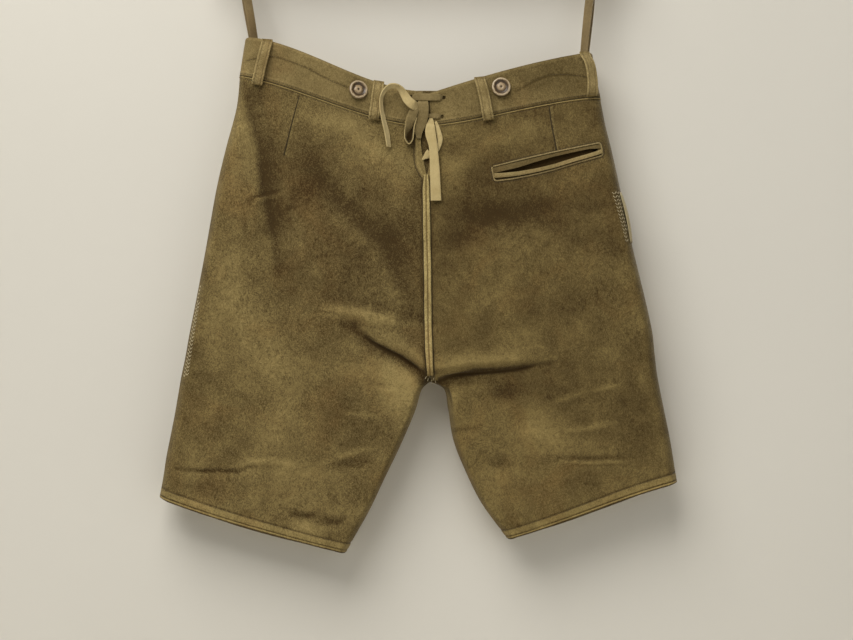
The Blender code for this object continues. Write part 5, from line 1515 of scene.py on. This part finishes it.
# How finely each strip is made, whether its grain side shows, and the places on it: x, height out
# from the garment, z, width, and its turn towards its edge
LACES = {
    "lace_row_top": (44, True, (
        (-9.4, -2.6, -165.6, 3.0, 8), (-8.6, 0.4, -165.8, 4.6, 8), (-6.6, 1.5, -166, 7.8, 10),
        (-2, 2.0, -166.1, 8.6, 12), (8, 2.4, -166.2, 8.6, 12), (18, 2.1, -166.4, 8.4, 12),
        (23.4, 1.5, -166.6, 7.4, 10), (25.8, 0.4, -166.8, 4.4, 8), (26.6, -2.6, -166.9, 3.0, 8))),
    "lace_row_low": (30, True, (
        (9.5, 1.3, -189, 5.0, 8), (14, 1.5, -189, 5.6, 8), (19, 1.6, -189.1, 6.0, 8),
        (22.2, 1.3, -189.3, 5.2, 6), (24.0, 0.3, -189.5, 3.6, 0), (24.6, -2.6, -189.6, 3.0, 0))),
    "lace_drop": (60, True, (
        (3.7, 0.9, -168.6, 10.6, 0), (3.7, 2.4, -171.8, 12.2, 0), (3.5, 5.4, -175.4, 13.2, 0),
        (3.4, 6.2, -181.5, 14.0, 0), (2.6, 5.9, -190, 14.0, 3), (0.8, 4.6, -199, 12.9, 7),
        (-1.4, 3.4, -208, 9.6, 14), (-1.2, 2.2, -216, 5.4, 26))),
    "lace_teardrop": (110, True, (
        (-3.0, 3.6, -177.5, 7.5, 0), (-5.4, 6.8, -181.0, 9.4, 0), (-8.4, 9.6, -186.5, 10.8, 4),
        (-11.2, 9.8, -194.0, 10.8, 12), (-13.8, 8.6, -202.5, 10.2, 38), (-16.9, 7.2, -210.5, 9.6, 74),
        (-17.0, 6.4, -217.4, 9.8, 84), (-13.0, 6.2, -222.6, 9.8, 85), (-9.2, 6.2, -218.4, 9.6, 85),
        (-7.9, 6.2, -211.0, 9.0, 85), (-7.0, 6.2, -202, 8.4, 85), (-4.4, 5.4, -192, 7.0, 84))),
    "lace_tail_left": (130, False, (
        (-1.6, 4.2, -178.6, 7.0, 0), (-4.6, 8.2, -178.2, 9.8, 0), (-8.6, 12.0, -176.2, 11.0, 2),
        (-14.4, 12.3, -171.0, 10.6, 6), (-19.2, 12, -163.4, 10.0, 28), (-22.6, 12.2, -158.2, 9.4, 45),
        (-27.6, 12.4, -154.4, 9, 56), (-34.8, 12.6, -154.2, 9, 60), (-41.8, 12.8, -159.4, 9, 65),
        (-45.6, 12.8, -168, 9, 67), (-45.8, 12.6, -180, 9, 65), (-43.4, 11.6, -193, 9, 60),
        (-39.4, 8.6, -210, 9, 54), (-37.0, 6.0, -226.5, 8.4, 60))),
    "lace_tail_right": (90, False, (
        (12.8, 1.6, -191.8, 4.2, 0), (13.0, 2.9, -195.2, 6.8, 0), (12.4, 4.2, -201.8, 10.6, 0),
        (12.5, 4.8, -210, 12.4, 0), (14.5, 4.9, -219.6, 11.2, 3), (16, 4.8, -228, 10.4, 4),
        (17.6, 4.6, -252, 11.5, 3), (18.4, 4.6, -274, 12.1, 5), (19, 4.8, -290.6, 12.6, 6))),
    "lace_small_loop": (40, False, (
        (18.6, 1.2, -195.5, 3.0, 0), (20.4, 1.6, -200.5, 4.2, 0), (22.5, 1.8, -209, 5.9, 4),
        (24.0, 1.9, -217, 6.4, 8), (22.8, 1.8, -225, 4.8, 4), (21.3, 1.6, -231.5, 2.2, 0))),
    "lace_crossing": (20, False, (
        (2.6, -0.6, -241.4, 1.6, 0), (5.4, -0.1, -239.0, 4.6, 0), (8.6, 0.4, -236.4, 8.4, 0),
        (12.4, 0.8, -233.0, 10.4, 0))),
}


def beside_slit(x, z):
    """The garment's outside at a place, or beside it over the open slit."""
    for shift in (0, -6, 6, -11, 11):
        y = touch("back", x + shift, z)[1]
        if y:
            return y
    return 0.0


def two_faced(piece, face, reverse, slot, *nodes):
    """Gives a strip one finish on its outer face and another on its back and cut edges."""
    fitted(piece, slot, face, *nodes)
    piece.data.materials.append(reverse)
    depth, side = (numpy.array([entry.value for entry in piece.data.attributes[name].data])
                   for name in ("depth", "across"))
    for polygon in piece.data.polygons:
        corners = list(polygon.vertices)
        behind = depth[corners].mean() < 0.2 or abs(side[corners]).min() > 0.97
        polygon.material_index = 1 if behind else 0


lace_paths, lace_pieces = {}, {}
for name, (count, grain_out, route) in LACES.items():
    places = smooth_route(route, count)
    x, out, z, width, turn = places.T
    depth = evened(numpy.array([beside_slit(*place) for place in zip(x, z)]), 4)
    path = numpy.stack((x, depth - out, z), axis=1)
    flat = unit(numpy.cross(unit(numpy.gradient(path, axis=0)), (0.0, 1.0, 0.0)))
    turn = numpy.radians(turn)[:, None]
    across = flat * numpy.cos(turn) + numpy.array((0.0, 1.0, 0.0)) * numpy.sin(turn)
    section = CUPPED_SECTION if name in ("lace_drop", "lace_tail_right", "lace_tail_left") else THONG_SECTION
    thong = strip_piece(f"{name}_thong", path, across, width, THONG, section)
    t = numpy.linspace(0, 1, len(path))
    tone = 0.35 * numpy.sin(t * 23 + len(name)) * numpy.sin(t * 9) + 0.2 * numpy.sin(t * 61)
    if name == "lace_tail_left":        # lighter where it hangs at the left, most at the top of its turn
        tone += numpy.clip((-26 - x) / 8, 0, 1) * (1.7 + 3.6 * groove(z + 155, 7))
    set_tone(thong, tone[:, None] - 0.2 * abs(numpy.array(section)[:, 0]))
    faces = (GRAIN_SIDE, FLESH_SIDE) if grain_out else (FLESH_SIDE, SPLIT_SIDE)
    two_faced(thong, *faces, "thong", *(() if name == "lace_crossing" else (name,)))
    lace_paths[name], lace_pieces[name] = path * MM, thong

# The knot lies behind the drop: two turns of the thong drawn flat.
KNOT_X, KNOT_Z, KNOT_HALF_DEPTH, KNOT_LIFT = 4.0, -180.5, 1.8, 1.0
knot_y = beside_slit(16, KNOT_Z) - KNOT_HALF_DEPTH - KNOT_LIFT
turns = numpy.linspace(0, 4 * math.pi, 70)
path = numpy.stack((KNOT_X + (5.2 - 0.12 * turns) * numpy.cos(turns),
                    knot_y + (1.25 - 0.05 * turns) * numpy.sin(turns), KNOT_Z - 1.4 + 0.22 * turns), axis=1)
across = numpy.stack((0.1 * numpy.sin(turns), 0 * turns, 0 * turns + 1), axis=1)
knot = strip_piece("lace_knot_turns", path, across, 5.6, 0.9, THONG_SECTION)
set_tone(knot, -0.2)
two_faced(knot, GRAIN_SIDE, FLESH_SIDE, "thong", "lace_knot")

for name, width, far_end in (("lace_tail_left", 9.3, "bare"), ("lace_tail_right", 11.4, "bare"),
                             ("lace_teardrop", 9.4, "knot")):
    route = lace_paths[name]


# ---- Hanging loops and rod ----------------------------------------------------------------
# A narrow strap is sewn inside the waistband at each side, passes over the rod and comes back
# down beside itself. The rod is plain turned beech.

ROD_DIAMETER = 20.0
ROD_LENGTH = 500.0
HANGER_WIDTH = 10.0
HANGER_THICKNESS = 2.0
Hanger = namedtuple("Hanger", "name root_x root_z rod_x twist")
HANGERS = (
    Hanger("hanging_loop_left", -200.0, -94.0, -216.0, math.radians(40)),
    Hanger("hanging_loop_right", 197.6, -112.0, 209.0, math.radians(-40)),
)
STRAP_SECTION = ((-1, -0.3), (-0.96, -0.75), (-0.86, -1), (0, -1.05), (0.86, -1), (0.96, -0.75), (1, -0.3),
                 (1, 0.3), (0.96, 0.75), (0.86, 1), (0.78, 0.75), (0.7, 1), (0, 1.05), (-0.7, 1), (-0.78, 0.75),
                 (-0.86, 1), (-0.96, 0.75), (-1, 0.3))
STRAP_FINISH = leather("hanging_strap_leather", (0.085, 0.052, 0.016), (0.270, 0.196, 0.082), mottle=0.5,
                       nap=0.5, bump=0.0003, sheen=0.1, roughness=0.62, specular=0.35, shade=edge_wear(0.8))
wrap, close = ROD_DIAMETER / 2 + 0.3 + HANGER_THICKNESS / 2, (HANGER_THICKNESS + 0.3) / 2
for hanger in HANGERS:
    foot = hanger.root_z - 22.0
    path, across = [], []
    for face in (-1, 1):
        run = numpy.linspace(0, 1, 44)[:-1] if face < 0 else numpy.linspace(1, 0, 44)[1:]
        for t in run:
            z = foot * (1 - t)
            x = hanger.root_x + (hanger.rod_x - hanger.root_x) * max(0, (z - hanger.root_z) / -hanger.root_z)
            gap, angle = close + (wrap - close) * t ** 1.6, hanger.twist * (1 - t) ** 1.2
            path.append((x - face * gap * math.sin(angle), face * gap * math.cos(angle), z))
            across.append((math.cos(angle), math.sin(angle), 0))
        if face < 0:
            for turn in numpy.linspace(0, math.pi, 25):
                path.append((hanger.rod_x, -wrap * math.cos(turn), wrap * math.sin(turn)))
                across.append((1, 0, 0))
    strap = strip_piece(f"{hanger.name}_strap", path, across, HANGER_WIDTH, HANGER_THICKNESS, STRAP_SECTION)
    t = numpy.linspace(0, 1, len(path))
    set_tone(strap, numpy.repeat(0.4 * numpy.sin(t * 40) * numpy.sin(t * 13) - 0.5 * groove(t - 0.5, 0.08),
                                 len(STRAP_SECTION)))
    fitted(strap, "strap", STRAP_FINISH, hanger.name)

rod = blank("cylinder", vertices=64, radius=ROD_DIAMETER / 2 * MM, depth=ROD_LENGTH * MM,
            rotation=(0, math.pi / 2, 0))
rod.name = "turned_rod"
bpy.ops.object.transform_apply(location=True, rotation=True, scale=True)
rod.modifiers.new("edges", "BEVEL").width = 1.2 * MM
rod.modifiers["edges"].segments = 3
rod.modifiers["edges"].limit_method = "ANGLE"
apply_modifiers(rod)
select_only(rod)
bpy.ops.object.shade_smooth_by_angle(angle=math.radians(40))

ROD_WOOD, tree, shader = new_finish("turned_beech")
place = own_place(tree)
stretched = node(tree, "ShaderNodeMapping", Vector=place, Scale=(6.0, 90.0, 90.0))
grain = node(tree, "ShaderNodeTexNoise", Vector=stretched, Scale=1.6, Detail=5.0, Distortion=0.6)
stretched = node(tree, "ShaderNodeMapping", Vector=place, Scale=(60.0, 900.0, 900.0))
flecks = node(tree, "ShaderNodeTexNoise", Vector=stretched, Scale=1.0, Detail=2.0)
mixed = calc(tree, "MULTIPLY_ADD", calc(tree, "SUBTRACT", flecks, 0.5), 0.35, grain)
connect(tree, shader, {
    "Base Color": colour_ramp(tree, mixed, (0.3, (0.30, 0.175, 0.085)), (0.72, (0.52, 0.345, 0.19))),
    "Roughness": calc(tree, "MULTIPLY_ADD", flecks, 0.2, 0.42),
    "Normal": node(tree, "ShaderNodeBump", Height=mixed, Strength=0.25, Distance=0.0003)})
fitted(rod, "rod_wood", ROD_WOOD, "rod")


# ---- Studio -------------------------------------------------------------------------------
# A pale plastered wall close behind the garment and a pale floor below it. The wall lets light
# and sight through from behind, so the garment's front can be looked at too.

WALL_PAINT, tree, shader = new_finish("wall_paint")
stretched = node(tree, "ShaderNodeMapping", Vector=own_place(tree), Scale=(1.6, 1.0, 34.0))
streak = node(tree, "ShaderNodeTexNoise", Vector=stretched, Scale=1.0, Detail=3.0, Roughness=0.55)
connect(tree, shader, {
    "Base Color": colour_ramp(tree, streak, (0.3, (0.605, 0.578, 0.512)), (0.7, (0.668, 0.64, 0.574))),
    "Roughness": 0.9, "Specular IOR Level": 0.15})
behind = tree.nodes.new("ShaderNodeNewGeometry").outputs["Backfacing"]
clear = node(tree, "ShaderNodeBsdfTransparent")
both = node(tree, "ShaderNodeMixShader", values=(behind, shader.outputs[0], clear))
connect(tree, tree.nodes["Material Output"], {"Surface": both})

FLOOR_HEIGHT = -0.95
WALL_DEPTH = 0.038
backdrop = blank("plane", size=1, location=(0, WALL_DEPTH, FLOOR_HEIGHT + 1.0), rotation=(math.pi / 2, 0, 0))
backdrop.name = "backdrop"
backdrop.scale = (2.4, 2.0, 1)
backdrop.data.materials.append(WALL_PAINT)
backdrop.visible_shadow = False
backdrop.visible_glossy = False

FLOOR_PAINT, tree, shader = new_finish("floor_paint")
connect(tree, shader, {"Base Color": (0.60, 0.58, 0.53, 1), "Roughness": 0.8, "Specular IOR Level": 0.15})
floor = blank("plane", size=6, location=(0, 0, FLOOR_HEIGHT))
floor.name = "floor"
floor.data.materials.append(FLOOR_PAINT)

Lamp = namedtuple("Lamp", "name place aim size power colour")
LAMPS = (
    Lamp("key", (-0.8, -1.65, 1.55), (0.0, 0, -0.36), 2.0, 75.5, (1.0, 0.985, 0.955)),
    Lamp("fill", (1.3, -2.3, -0.1), (0, 0, -0.42), 1.6, 5, (0.97, 0.985, 1.0)),
    Lamp("rear", (0.9, 2.0, 0.7), (0, 0, -0.42), 1.3, 46, (1.0, 0.99, 0.97)),
)
for lamp in LAMPS:
    data = bpy.data.lights.new(lamp.name, "AREA")
    data.shape, data.size, data.energy, data.color = "SQUARE", lamp.size, lamp.power, lamp.colour
    light = placed(lamp.name, data)
    light.location = lamp.place
    light.rotation_euler = (Vector(lamp.aim) - Vector(lamp.place)).to_track_quat("-Z", "Y").to_euler()

world = bpy.data.worlds.new("room")
bpy.context.scene.world = world
world.use_nodes = True
connect(world.node_tree, world.node_tree.nodes["Background"],
        {"Color": (0.93, 0.92, 0.90, 1), "Strength": 0.25})
bpy.context.scene.view_settings.view_transform = "Standard"
bpy.context.scene.view_settings.look = "None"

FRAME_WIDTH = 1.0236
CAMERA_DISTANCE = 2.6
SENSOR_WIDTH = 36
camera = placed("camera", bpy.data.cameras.new("camera"))
camera.data.sensor_width = SENSOR_WIDTH
camera.data.lens = SENSOR_WIDTH * CAMERA_DISTANCE / FRAME_WIDTH
camera.location = (0.0078, -CAMERA_DISTANCE, -0.432)
camera.rotation_euler = (math.pi / 2, 0, 0)
bpy.context.scene.camera = camera
